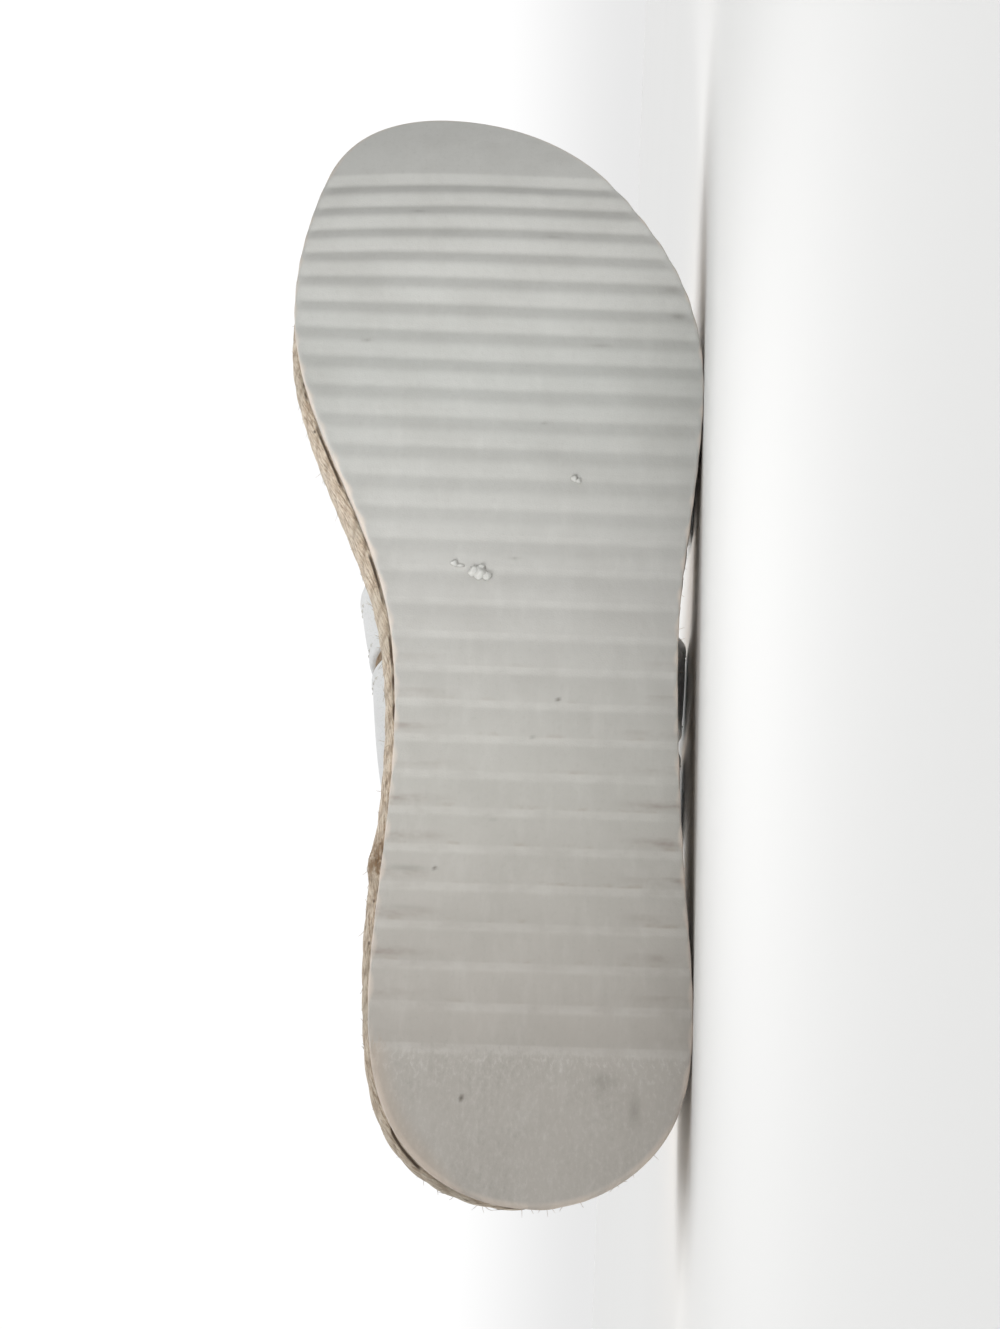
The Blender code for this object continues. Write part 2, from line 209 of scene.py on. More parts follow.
@dataclass(frozen=True)
class ShoePlan:
    """The sizes that all pieces share, in millimetres, with the tables the solids are made from."""

    length: float = 260.0
    outsole_thick: float = 5.0
    spring_start: float = 199.0
    spring_radius: float = 159.0
    # share of the radius past which the arc isn't read
    spring_limit: float = 0.9
    gap: float = 0.3
    strap_inset: float = 3.0
    inner_lean: float = 0.05
    last_round: float = 2.6
    # along, inner edge, outer edge
    sole: Sequence[Sequence[float]] = (
        (0.0, 0.5, 0.5),
        (5.0, -17.2, 17.3),
        (14.0, -25.8, 26.2),
        (30.0, -30.7, 30.7),
        (60.0, -30.3, 30.0),
        (95.0, -29.3, 29.3),
        (122.0, -33.4, 30.5),
        (142.0, -41.0, 33.3),
        (161.0, -49.6, 35.8),
        (180.0, -56.2, 36.9),
        (200.0, -58.0, 33.6),
        (222.0, -55.6, 23.8),
        (240.0, -51.2, 12.2),
        (252.0, -43.8, -0.6),
        (260.0, -25.0, -25.0),
    )
    # along, the jute's overhang on the inner side, on the outer side
    past: Sequence[Sequence[float]] = (
        (0.0, 0.3, 0.3),
        (4.0, 1.6, 0.3),
        (12.0, 2.2, 0.3),
        (30.0, 1.6, 0.4),
        (60.0, 2.4, 0.5),
        (95.0, 2.5, 0.7),
        (125.0, 3.0, 0.8),
        (150.0, 2.9, 0.7),
        (172.0, 2.5, 0.5),
        (195.0, 0.7, 0.4),
        (225.0, 0.4, 0.4),
        (260.0, 0.4, 0.4),
    )
    # along, height of the jute's top before the toe spring
    wedge: Sequence[Sequence[float]] = (
        (0.0, 44.0),
        (40.0, 43.5),
        (80.0, 39.0),
        (120.0, 31.5),
        (155.0, 25.0),
        (185.0, 21.5),
        (220.0, 20.0),
        (260.0, 19.5),
    )
    # along, the last's height, its crest between the roots, its inner and outer swell
    last: Sequence[Sequence[float]] = (
        (70.0, 76.0, 0.47, 0.5, 9.0),
        (95.0, 70.0, 0.46, 6.8, 9.5),
        (120.0, 61.0, 0.44, 6.0, 9.0),
        (145.0, 52.0, 0.42, 2.0, 6.5),
        (170.0, 45.0, 0.40, 0.2, 4.0),
        (195.0, 39.0, 0.39, 0.8, 3.2),
        (220.0, 32.0, 0.38, 1.0, 2.5),
        (240.0, 27.0, 0.38, 0.8, 2.0),
    )

    def turn(self, along: Array) -> Array:
        """The angle round a half circle from heel to toe, so that round ends stay smooth."""
        return np.arccos(np.clip(1 - 2 * np.asarray(along, float) / self.length, -1, 1))

    def by_side(self, rows: Sequence[Sequence[float]], side: Side, along: Array) -> Array:
        """A side's column of a table, as a smooth curve over the turn.

        Args:
            rows: The table, with along, inner and outer columns.
            side: Which column to read.
            along: Places along the shoe.

        Returns:
            The curve's values.
        """
        table = np.array(rows)
        values = table[:, 1 if side is Side.INNER else 2]
        return natural_curve(self.turn(table[:, 0]), values, self.turn(along))

    def edge(self, side: Side, along: Array) -> Array:
        """How far across the outsole's edge is."""
        return self.by_side(self.sole, side, along)

    def overhang(self, side: Side, along: Array) -> Array:
        """How far the jute stands out past the outsole."""
        return self.by_side(self.past, side, along)

    def lift(self, along: Array) -> Array:
        """The toe spring: an arc that leaves the ground at its start."""
        limit = self.spring_radius * self.spring_limit
        run = np.clip(np.asarray(along, float) - self.spring_start, 0, limit)
        return self.spring_radius - np.sqrt(self.spring_radius**2 - run**2)

    def jute_top(self, along: Array) -> Array:
        """The height of the jute's top edge."""
        knots, heights = np.array(self.wedge).T
        return natural_curve(knots, heights, np.clip(along, 0, self.length)) + self.lift(along)

    def lean(self, along: Array, height: Array) -> Array:
        """How far the jute's inner side leans in at a height."""
        rise = np.clip(height - self.lift(along) - self.outsole_thick - self.gap, 0, None)
        return self.inner_lean * rise * np.sin(self.turn(along))

    def ring(self, out: float, height: Callable[[Array], Array], steps: int = 900) -> Ring:
        """A line round the jute from the toe, down the inner side, round the heel and back.

        Each point of the outsole's outline moves straight out by the jute's overhang and by a
        fixed distance. The inner side then moves in by its lean.

        Args:
            out: Distance to move out.
            height: The line's height, from along.
            steps: Steps on each side.

        Returns:
            The closed line.
        """
        angle = np.linspace(math.pi, 0, steps + 1)
        along = self.length * (1 - np.cos(angle)) / 2
        back = along[-2:0:-1]
        plan = np.concatenate(
            [
                np.stack([along, self.edge(Side.INNER, along)], axis=1),
                np.stack([back, self.edge(Side.OUTER, back)], axis=1),
            ]
        )
        run = np.roll(plan, -1, axis=0) - np.roll(plan, 1, axis=0)
        normal = unit(np.stack([-run[:, 1], run[:, 0]], axis=1))
        past = np.concatenate([self.overhang(Side.INNER, along), self.overhang(Side.OUTER, back)])
        moved = plan + (past + out)[:, None] * normal
        inner = moved[: steps + 1]
        inner[:, 1] += self.lean(inner[:, 0], height(inner[:, 0]))
        return Ring(moved, normal, True)

    def last_point(self, along: Array, girth: Array) -> Array:
        """The last's surface.

        Over the girth the section is a half of a rounded box: height by a power of the sine,
        width by the same power of the cosine, with the sides swelling past the roots below.

        Args:
            along: Places along the shoe.
            girth: 0 at the inner root, 1 at the outer root.

        Returns:
            Points of the last.
        """
        table = np.array(self.last)
        height, crest, in_swell, out_swell = (
            natural_curve(table[:, 0], table[:, k], along) for k in range(1, 5)
        )
        lean = self.lean(along, self.jute_top(along))
        inner = self.edge(Side.INNER, along) - self.overhang(Side.INNER, along)
        inner = inner + self.strap_inset + lean
        outer = self.edge(Side.OUTER, along) + self.overhang(Side.OUTER, along) - self.strap_inset
        top = inner + crest * (outer - inner)
        rise = np.sin(np.clip(math.pi * girth, 0, math.pi)) ** (2 / self.last_round)
        reach = np.abs(np.cos(math.pi * girth)) ** (2 / self.last_round)
        swell = SWELL_PEAK * rise * (1 - rise) ** 2
        across = np.where(
            girth < 0.5,
            top - reach * (top - inner) - swell * in_swell,
            top + reach * (outer - top) + swell * out_swell,
        )
        return np.stack([along, across, self.jute_top(along) + self.gap + rise * height], axis=-1)


@dataclass(frozen=True)
class LyingPlace:
    """How the standing shoe is laid down: three directions and a move, in metres."""

    turn: Array
    move: Array

    @classmethod
    def from_record(cls, record: dict[str, Any]) -> "LyingPlace":
        """Reads the place from the heel pad's mount.

        The mount's axis points down out of the sole at its heel. The toe's direction is square
        to it and has no part along the world's Y.

        Args:
            record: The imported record.

        Returns:
            The place.
        """
        mount = next(item for item in record["mounts"] if item["name"] == "heel_pad")
        up = unit(-np.array(mount["axis"], float))
        toe = unit(np.array([up[2], 0.0, -up[0]]))
        turn = np.stack([toe, np.cross(up, toe), up], axis=1)
        return cls(turn, np.array(mount["pos_m"]) - turn @ np.array([MOUNT_ALONG * MM, 0.0, 0.0]))

    def point(self, points: Sequence[float] | Array) -> Array:
        """Millimetres of the standing shoe as metres of the lying one."""
        return np.asarray(points, float) * MM @ self.turn.T + self.move


@dataclass
class Patch:
    """A closed run of faces in the shoe's millimetres.

    Corners hold the point numbers of all faces one after another, sizes how many corners each
    face has. Texture places belong to corners, tags to points and finishes to faces.
    """

    points: Array
    corners: Numbers
    sizes: Numbers
    uv: Array
    finishes: Numbers
    tags: dict[str, Array] = field(default_factory=dict)


def face_corners(rows: int, columns: int) -> list[tuple[Numbers, Numbers]]:
    """Numbers of the row and column of each face's first, second, third and last corner."""
    i, j = np.meshgrid(np.arange(rows), np.arange(columns), indexing="ij")
    return [(i, j), (i, j + 1), (i + 1, j + 1), (i + 1, j)]


def grid_patch(
    points: Array,
    uv: Array,
    wrap: bool = False,
    tags: Optional[dict[str, Array]] = None,
    column_finish: Optional[Numbers] = None,
) -> Patch:
    """A tube of faces over rows of closed sections, turned so that its faces point outward.

    Args:
        points: Rows by columns by three. Columns close on themselves.
        uv: Texture places, with one more column, and one more row where the rows close too.
        wrap: Whether the rows close on themselves. If not, both ends get a flat face.
        tags: Named values for each point.
        column_finish: Number of the finish for the faces that start at each column.

    Returns:
        The faces.
    """
    rows, columns = points.shape[:2]
    flat = points.reshape(-1, 3)
    grid = face_corners(rows if wrap else rows - 1, columns)
    quads = np.stack([(i % rows) * columns + j % columns for i, j in grid], axis=-1).reshape(-1, 4)
    places = np.stack([uv[i, j] for i, j in grid], axis=2).reshape(-1, 4, 2)
    a, b, c, d = (flat[quads[:, k]] - flat.mean(axis=0) for k in range(4))
    inside_out = (a * (np.cross(b, c) + np.cross(c, d))).sum() < 0
    if inside_out:
        quads, places = quads[:, ::-1], places[:, ::-1]
    corners, sizes = [quads.ravel()], [np.full(len(quads), 4)]
    spots = [places.reshape(-1, 2)]
    kinds = np.zeros(columns, int) if column_finish is None else column_finish
    finishes = [kinds[grid[0][1]].ravel()]
    if not wrap:
        for row, backward in ((0, not inside_out), (rows - 1, inside_out)):
            ring = row * columns + np.arange(columns)
            spot = uv[row, :columns]
            corners.append(ring[::-1] if backward else ring)
            spots.append(spot[::-1] if backward else spot)
            sizes.append(np.array([columns]))
            finishes.append(kinds[:1])
    return Patch(
        flat,
        np.concatenate(corners),
        np.concatenate(sizes),
        np.concatenate(spots),
        np.concatenate(finishes),
        {name: value.reshape(-1) for name, value in (tags or {}).items()},
    )


def tubes_patch(paths: Array, radii: Array, lean: Array, sides: int) -> Patch:
    """Many short closed tubes in one run of faces.

    Each point of a path carries a regular polygon square to the path, at that point's radius.

    Args:
        paths: Tubes by points by three.
        radii: Tubes by points.
        lean: For each tube, a direction that isn't along it.
        sides: Sides of the polygon.

    Returns:
        The faces.
    """
    count, steps = paths.shape[:2]
    along = unit(np.gradient(paths, axis=1))
    one = unit(np.cross(along, lean[:, None, :]))
    two = np.cross(along, one)
    angle = 2 * math.pi * np.arange(sides) / sides
    cosine, sine = np.cos(angle)[:, None], np.sin(angle)[:, None]
    round_about = cosine * one[:, :, None] + sine * two[:, :, None]
    points = paths[:, :, None] + radii[:, :, None, None] * round_about
    grid = face_corners(steps - 1, sides)
    one_tube = np.stack([i * sides + j % sides for i, j in grid], axis=-1).reshape(1, -1, 4)
    base = np.arange(count)[:, None] * steps * sides
    quads = (base[:, :, None] + one_tube).reshape(-1, 4)
    first = base + np.arange(sides)[::-1]
    last = base + (steps - 1) * sides + np.arange(sides)
    corners = np.concatenate([quads.ravel(), first.ravel(), last.ravel()])
    sizes = np.concatenate([np.full(len(quads), 4), np.full(2 * count, sides)])
    uv = np.stack([corners // sides % steps / 10, corners % sides / 10], axis=1)
    return Patch(points.reshape(-1, 3), corners, sizes, uv, np.zeros(len(sizes), int))


@dataclass
class Workshop:
    """Puts patches into named pieces that ride on the shoe's body."""

    place: LyingPlace
    made: list[str] = field(default_factory=list)

    def piece(
        self,
        name: str,
        patches: Sequence[Patch],
        finishes: Sequence[Material],
        slot: str,
        node: Optional[str] = None,
        sharp: float = 40.0,
    ) -> None:
        """Joins patches into one mesh at the origin, in the lying shoe's metres.

        Args:
            name: Name of the piece.
            patches: Its runs of faces.
            finishes: Its materials, in the order the faces number them.
            slot: The record's material slot. Not used.
            node: The solid it stands for.
            sharp: Angle in degrees past which an edge isn't shaded smooth.
        """
        offset = np.cumsum([0] + [len(patch.points) for patch in patches[:-1]])
        corners = np.concatenate([patch.corners + start for patch, start in zip(patches, offset)])
        sizes = np.concatenate([patch.sizes for patch in patches])
        points = self.place.point(np.concatenate([patch.points for patch in patches]))
        mesh = bpy.data.meshes.new(name)
        mesh.vertices.add(len(points))
        mesh.vertices.foreach_set("co", points.astype(np.float32).ravel())
        mesh.loops.add(len(corners))
        mesh.loops.foreach_set("vertex_index", corners.astype(np.int32))
        mesh.polygons.add(len(sizes))
        starts = np.concatenate([[0], np.cumsum(sizes)[:-1]])
        mesh.polygons.foreach_set("loop_start", starts.astype(np.int32))
        numbers = np.concatenate([patch.finishes for patch in patches])
        mesh.polygons.foreach_set("material_index", numbers.astype(np.int32))
        mesh.polygons.foreach_set("use_smooth", np.ones(len(sizes), bool))
        mesh.update(calc_edges=True)
        layer = mesh.uv_layers.new(name="surface")
        places = np.concatenate([patch.uv for patch in patches])
        layer.uv.foreach_set("vector", places.astype(np.float32).ravel())
        for tag in {tag for patch in patches for tag in patch.tags}:
            values = [patch.tags.get(tag, np.zeros(len(patch.points))) for patch in patches]
            attribute = mesh.attributes.new(tag, "FLOAT", "POINT")
            attribute.data.foreach_set("value", np.concatenate(values).astype(np.float32))
        mesh.set_sharp_from_angle(angle=math.radians(sharp))
        for finish in finishes:
            mesh.materials.append(finish)
        piece = bpy.data.objects.new(name, mesh)
        bpy.context.scene.collection.objects.link(piece)
        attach(piece, BODY)
        if node:
            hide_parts(node)
        triangles = int((sizes - 2).sum())
        LOG.info("%s: %d triangles, stands for %s", name, triangles, node or "no solid of its own")
        self.made.append(name)


@dataclass(frozen=True)
class Cloud:
    """Cloudy noise on a piece's surface, or in the room: its scale counts clouds in one unit."""

    stretch: tuple[float, float] = (1.0, 1.0)
    turn: float = 0.0
    scale: float = 1.0
    octaves: float = 3.0
    # share that each octave keeps
    keep: float = 0.55
    # read in metres of the room, with no stretch or turn
    room: bool = False


class Board:
    """A material's node tree, with one short method for each kind of node in use."""

    def __init__(self, name: str) -> None:
        """Starts a material with its shader and nothing else."""
        self.material = bpy.data.materials.new(name)
        self.material.use_nodes = True
        self.tree = self.material.node_tree
        self.shader = self.tree.nodes["Principled BSDF"]

    def node(self, kind: str, **settings: Any) -> bpy.types.Node:
        """Adds a node.

        Args:
            kind: Its type without the common start of the name.
            **settings: Properties to set on it.

        Returns:
            The node.
        """
        made = self.tree.nodes.new("ShaderNode" + kind)
        for name, value in settings.items():
            setattr(made, name, value)
        return made

    def feed(self, socket: Socket, value: Value) -> None:
        """Links a socket to another, or sets its own value."""
        if isinstance(value, Socket):
            self.tree.links.new(value, socket)
        else:
            socket.default_value = value

    def set(self, **values: Value) -> None:
        """Feeds the shader's sockets, named with underscores for spaces."""
        for name, value in values.items():
            self.feed(self.shader.inputs[name.replace("_", " ")], value)

    def tag(self, name: str) -> Socket:
        """A named value of the mesh's points."""
        return self.node("Attribute", attribute_name=name).outputs["Fac"]

    def surface(self, scale: Sequence[float] = (1.0, 1.0), angle: float = 0.0) -> Socket:
        """The piece's own texture places, in centimetres of its surface, stretched and turned.

        Args:
            scale: Stretch along and across.
            angle: Turn in degrees, before the stretch.

        Returns:
            The vector socket.
        """
        turned = self.node("Mapping", vector_type="POINT")
        self.feed(turned.inputs["Vector"], self.node("UVMap", uv_map="surface").outputs["UV"])
        turned.inputs["Rotation"].default_value = (0.0, 0.0, math.radians(angle))
        if tuple(scale) == (1.0, 1.0):
            return turned.outputs["Vector"]
        stretched = self.node("Mapping", vector_type="POINT")
        self.feed(stretched.inputs["Vector"], turned.outputs["Vector"])
        stretched.inputs["Scale"].default_value = (*scale, 1.0)
        return stretched.outputs["Vector"]

    def room(self) -> Socket:
        """The object's own coordinates, in metres."""
        return self.node("TexCoord").outputs["Object"]

    def cloud(self, cloud: Cloud) -> Socket:
        """Cloudy noise from 0 to 1.

        Args:
            cloud: Its kind.

        Returns:
            The value socket.
        """
        made = self.node("TexNoise")
        at = self.room() if cloud.room else self.surface(cloud.stretch, cloud.turn)
        self.feed(made.inputs["Vector"], at)
        given = {"Scale": cloud.scale, "Detail": cloud.octaves, "Roughness": cloud.keep}
        for name, value in given.items():
            made.inputs[name].default_value = value
        return made.outputs[0]

    def cells(self, scale: float) -> tuple[Socket, Socket]:
        """Scattered cells on the surface.

        Args:
            scale: Cells in one centimetre.

        Returns:
            The distance from the nearest cell's middle, and that cell's own colour.
        """
        made = self.node("TexVoronoi")
        self.feed(made.inputs["Vector"], self.surface())
        made.inputs["Scale"].default_value = scale
        return made.outputs["Distance"], made.outputs["Color"]

    def sums(self, operation: str, first: Value, second: Value = 0.0) -> Socket:
        """One step of arithmetic.

        Args:
            operation: Blender's name of it.
            first: First value.
            second: Second value.

        Returns:
            The value socket.
        """
        made = self.node("Math", operation=operation)
        self.feed(made.inputs[0], first)
        self.feed(made.inputs[1], second)
        return made.outputs[0]

    def step(self, value: Socket, low: float, high: float, top: float = 1.0) -> Socket:
        """A soft step from 0 at low to top at high.

        Args:
            value: The value to read.
            low: Where the step is 0.
            high: Where the step is full.
            top: Its full height.

        Returns:
            The value socket.
        """
        made = self.node("MapRange", interpolation_type="SMOOTHSTEP")
        ends = {"Value": value, "From Min": low, "From Max": high, "To Max": top}
        for name, given in ends.items():
            self.feed(made.inputs[name], given)
        return made.outputs["Result"]

    def ramp(self, value: Socket, stops: Sequence[tuple[float, Colour]]) -> Socket:
        """Colours along a value.

        Args:
            value: The value to read.
            stops: Places and colours.

        Returns:
            The colour socket.
        """
        made = self.node("ValToRGB")
        self.feed(made.inputs["Fac"], value)
        stripe = made.color_ramp.elements
        while len(stripe) < len(stops):
            stripe.new(0.5)
        for element, (place, colour) in zip(stripe, stops):
            element.position = place
            element.color = colour
        return made.outputs["Color"]

    def mix(self, share: Value, first: Value, second: Value) -> Socket:
        """Mixes two colours.

        Args:
            share: How much of the second.
            first: First colour.
            second: Second colour.

        Returns:
            The colour socket.
        """
        made = self.node("Mix", data_type="RGBA")
        for number, given in ((0, share), (6, first), (7, second)):
            self.feed(made.inputs[number], given)
        return made.outputs[2]

    def times(self, first: Value, *others: Value) -> Value:
        """The product of values.

        Args:
            first: First value.
            *others: The other values.

        Returns:
            The product's socket, or the first value if it is alone.
        """
        for other in others:
            first = self.sums("MULTIPLY", first, other)
        return first

    def cover(self, base: Value, colour: Colour, *shares: Value) -> Socket:
        """Lays a colour over another, as far as the product of shares says."""
        return self.mix(self.times(*shares), base, colour)

    def bump(self, height: Socket, millimetres: float, under: Optional[Socket] = None) -> Socket:
        """Raises the surface for shading.

        Args:
            height: Height from 0 to 1.
            millimetres: How high 1 is.
            under: A normal to build on.

        Returns:
            The normal socket.
        """
        made = self.node("Bump")
        made.inputs["Strength"].default_value = 1.0
        made.inputs["Distance"].default_value = millimetres * MM
        self.feed(made.inputs["Height"], height)
        if under is not None:
            self.feed(made.inputs["Normal"], under)
        return made.outputs["Normal"]


@dataclass(frozen=True)
class RubberFinish:
    """Off-white rubber from a mould, greyer and warmer toward the heel with painted shade, lighter
    at the toe with painted light, with scuffs and smudges.

    Places along the sole are shares of its length.
    """

    toe: Colour = tone(208, 208, 204)
    forefoot: Colour = tone(204, 204, 200)
    ball: Colour = tone(192, 193, 189)
    waist: Colour = tone(185, 184, 180)
    rear: Colour = tone(184, 182, 176)
    heel: Colour = tone(180, 175, 168)
    # clean rubber, also painted light in the grooves and on the crumbs' inner sides
    clean: Colour = tone(226, 225, 220)
    # worn edge, also a painted highlight along the outsole's side
    edge: Colour = tone(228, 213, 199)
    tan: Colour = tone(186, 164, 142)
    grime: Colour = tone(136, 132, 124)
    smudge: Colour = tone(128, 108, 99)
    # painted shade on the lip beside each groove
    lip_shade: Colour = tone(140, 116, 96)
    # dark specks, also painted shade on the crumbs' outer sides
    speck: Colour = tone(92, 84, 74)
    clouds: Cloud = Cloud(scale=0.55, octaves=4.0, keep=0.6)
    flecks: Cloud = Cloud(scale=9.0, keep=0.6)
    rubs: Cloud = Cloud((0.9, 2.6), octaves=4.0, keep=0.65)
    dashes: Cloud = Cloud((3.0, 1.6), keep=0.6)
    streaks: Cloud = Cloud((2.2, 0.9), keep=0.6)
    scratches: Cloud = Cloud((6.8, 11.0), octaves=4.0, keep=0.75)
    wear: Cloud = Cloud(scale=1.4)
    grain: Cloud = Cloud(scale=26.0, keep=0.6)
    dots: float = 0.62
    ragged: float = 0.05
    grain_height: float = 0.05
    scratch_height: float = 0.07
    cloud_height: float = 0.25
    roughest: float = 0.68
    smoothest: float = 0.48

    def material(self) -> Material:
        """Builds the finish in layers, each one over those before it.

        Returns:
            The material.
        """
        board = Board("outsole_rubber")
        along = board.tag("along")
        cloud = board.cloud(self.clouds)
        fleck = board.cloud(self.flecks)
        base = self.rubber_tone_and_painted_light(board, along, cloud, fleck)
        base = self.ribbed(board, along, base)
        base, scratched = self.heel_pad(board, along, cloud, base)
        base = self.marked(board, base)
        normal = board.bump(board.cloud(self.grain), self.grain_height)
        normal = board.bump(scratched, self.scratch_height, normal)
        normal = board.bump(cloud, self.cloud_height, normal)
        rough = board.node("MapRange")
        ends = {"Value": fleck, "To Min": self.smoothest, "To Max": self.roughest}
        for name, given in ends.items():
            board.feed(rough.inputs[name], given)
        board.set(Base_Color=base, Normal=normal, Specular_IOR_Level=0.35)
        board.set(Roughness=rough.outputs["Result"])
        return board.material

    def rubber_tone_and_painted_light(self, board: Board, along: Socket, cloud: Socket, fleck: Socket) -> Socket:
        """The rubber: its colour runs along the sole, darker toward the heel with painted shade and
        lighter at the toe with painted light, and is clouded, flecked and rubbed.

        Args:
            board: The material.
            along: Share of the sole's length.
            cloud: Wide clouds.
            fleck: Fine flecks.

        Returns:
            The colour.
        """
        # tones along the sole: painted shade toward the heel, painted light at the toe
        base = board.ramp(
            along,
            (
                (0.0, self.heel),
                (0.12, self.heel),
                (0.30, self.rear),
                (0.47, self.waist),
                (0.68, self.ball),
                (0.80, self.forefoot),
                (0.93, self.toe),
            ),
        )
        base = board.cover(base, self.grime, board.step(cloud, 0.35, 0.75, 0.14))
        base = board.cover(base, self.grime, board.step(fleck, 0.5, 0.8, 0.10))
        rubbed = board.cloud(self.rubs)
        return board.cover(base, self.clean, board.step(rubbed, 0.45, 0.80, 0.12))

    def ribbed(self, board: Board, along: Socket, base: Socket) -> Socket:
        """Clean lines in the grooves, partly painted light that lifts their shade, and smudged
        crests and painted shade on the lips on the rear half.

        Args:
            board: The material.
            along: Share of the sole's length.
            base: The colour so far.

        Returns:
            The colour.
        """
        dash = board.cloud(self.dashes)
        toward_heel = board.sums("ADD", board.step(along, 0.60, 0.34, 0.7), 0.3)
        broken = board.step(dash, 0.20, 0.72, 0.20)
        # the clean line in each groove is partly painted light that lifts its shade
        base = board.cover(base, self.clean, board.tag("clean"), broken, toward_heel)
        rear = board.times(board.step(along, 0.48, 0.26), board.step(along, 0.10, 0.19))
        near_edge = board.step(board.tag("rim"), 0.20, 0.85)
        streak = board.step(board.cloud(self.streaks), 0.34, 0.66, 0.65)
        base = board.cover(base, self.smudge, board.tag("crest"), near_edge, rear, streak)
        # painted shade on the lip beside each groove, on the rear half
        lip_shade_share = board.step(dash, 0.50, 0.70, 0.3)
        return board.cover(base, self.lip_shade, board.tag("lip"), lip_shade_share, rear)

    def heel_pad(
        self, board: Board, along: Socket, cloud: Socket, base: Socket
    ) -> tuple[Socket, Socket]:
        """The heel pad: scratched and pitted, with a ragged front and a tan rim on its inner side.

        Args:
            board: The material.
            along: Share of the sole's length.
            cloud: Wide clouds.
            base: The colour so far.

        Returns:
            The colour, and how scratched it is.
        """
        scratch = board.cloud(self.scratches)
        front = board.sums("ADD", along, board.times(scratch, self.ragged))
        on_pad = board.step(front, 0.139, 0.130)
        at_front = board.sums("ADD", board.step(along, 0.070, 0.112, 0.6), 0.4)
        scratched = board.times(board.step(scratch, 0.47, 0.72, 0.42), on_pad, at_front)
        base = board.cover(base, self.clean, scratched)
        pit = board.step(scratch, 0.48, 0.28, 0.30)
        base = board.cover(base, self.grime, pit, on_pad, board.step(cloud, 0.40, 0.65))
        tanned = board.step(board.tag("tan"), 0.70, 0.99, 0.36)
        return board.cover(base, self.tan, tanned, on_pad), scratched

    def marked(self, board: Board, base: Socket) -> Socket:
        """Bleached wear along the edge with a painted highlight on it, scattered dots, and the
        specks that have places, whose tag also paints shade on the crumbs' outer sides.

        Args:
            board: The material.
            base: The colour so far.

        Returns:
            The colour.
        """
        # wear along the edge, partly a painted highlight
        worn_and_lit = board.step(board.cloud(self.wear), 0.25, 0.60, 0.85)
        base = board.cover(base, self.edge, board.tag("edge"), worn_and_lit)
        distance, own = board.cells(self.dots)
        dot, rare = board.step(distance, 0.034, 0.016, 0.7), board.step(own, 0.62, 0.64)
        base = board.cover(base, self.speck, dot, rare)
        # the tag also paints shade on the crumbs' outer sides
        return board.cover(base, self.speck, board.tag("speck"))


@dataclass(frozen=True)
class JuteFinish:
    """Pale jute: strands of long fibres, with painted shade between the strands and where rows
    touch, a painted shadow along the outsole, and a few dark bits.
    """

    name: str = "jute_cord"
    dark: Colour = tone(158, 135, 112)
    middle: Colour = tone(219, 201, 179)
    pale: Colour = tone(242, 231, 214)
    cool: Colour = tone(206, 197, 180)
    # dark bits, also the painted shadow of the slits along the outsole
    bit: Colour = tone(92, 76, 62)
    stain: Colour = tone(138, 108, 76)
    fibres: Cloud = Cloud((3.0, 20.0), 14.0, octaves=4.0, keep=0.75)
    slits: Cloud = Cloud((5.0, 16.0), 14.0, octaves=2.0, keep=0.5)
    hairs: Cloud = Cloud((4.0, 60.0), 12.0)
    patches: Cloud = Cloud(scale=70.0, octaves=2.0, keep=0.5, room=True)
    breaks: Cloud = Cloud(scale=95.0, octaves=2.0, keep=0.5, room=True)
    blotches: Cloud = Cloud(scale=5.0, keep=0.65)
    bits: float = 2.2
    fibre_height: float = 0.5
    hair_height: float = 0.15

    def material(self) -> Material:
        """Builds the finish from noise stretched along the fibres of each strand.

        Returns:
            The material.
        """
        board = Board(self.name)
        fibre = board.cloud(self.fibres)
        base = board.ramp(fibre, ((0.36, self.dark), (0.47, self.middle), (0.60, self.pale)))
        base = board.cover(base, self.dark, board.step(board.cloud(self.slits), 0.58, 0.70, 0.6))
        base = board.cover(base, self.cool, board.step(board.cloud(self.patches), 0.45, 0.70, 0.5))
        # painted shade between the strands and where rows touch
        shade_between_strands = board.sums("SUBTRACT", 1.0, board.tag("strand"))
        base = board.cover(base, self.dark, board.step(shade_between_strands, 0.25, 1.0, 0.5))
        distance, own = board.cells(self.bits)
        bit, rare = board.step(distance, 0.13, 0.05, 0.8), board.step(own, 0.70, 0.74)
        base = board.cover(base, self.bit, bit, rare)
        # painted shadow of the slits along the outsole
        past = board.tag("past")
        line = board.times(board.step(past, 0.20, 0.36), board.step(past, 0.92, 0.66))
        broken = board.step(board.cloud(self.breaks), 0.44, 0.54, 0.95)
        base = board.cover(base, self.bit, line, broken)
        blotch = board.step(board.cloud(self.blotches), 0.34, 0.60, 0.85)
        base = board.cover(base, self.stain, board.tag("stain"), blotch)
        normal = board.bump(fibre, self.fibre_height)
        normal = board.bump(board.cloud(self.hairs), self.hair_height, normal)
        board.set(Base_Color=base, Normal=normal, Roughness=0.92)
        board.set(Specular_IOR_Level=0.2, Sheen_Weight=0.12)
        return board.material


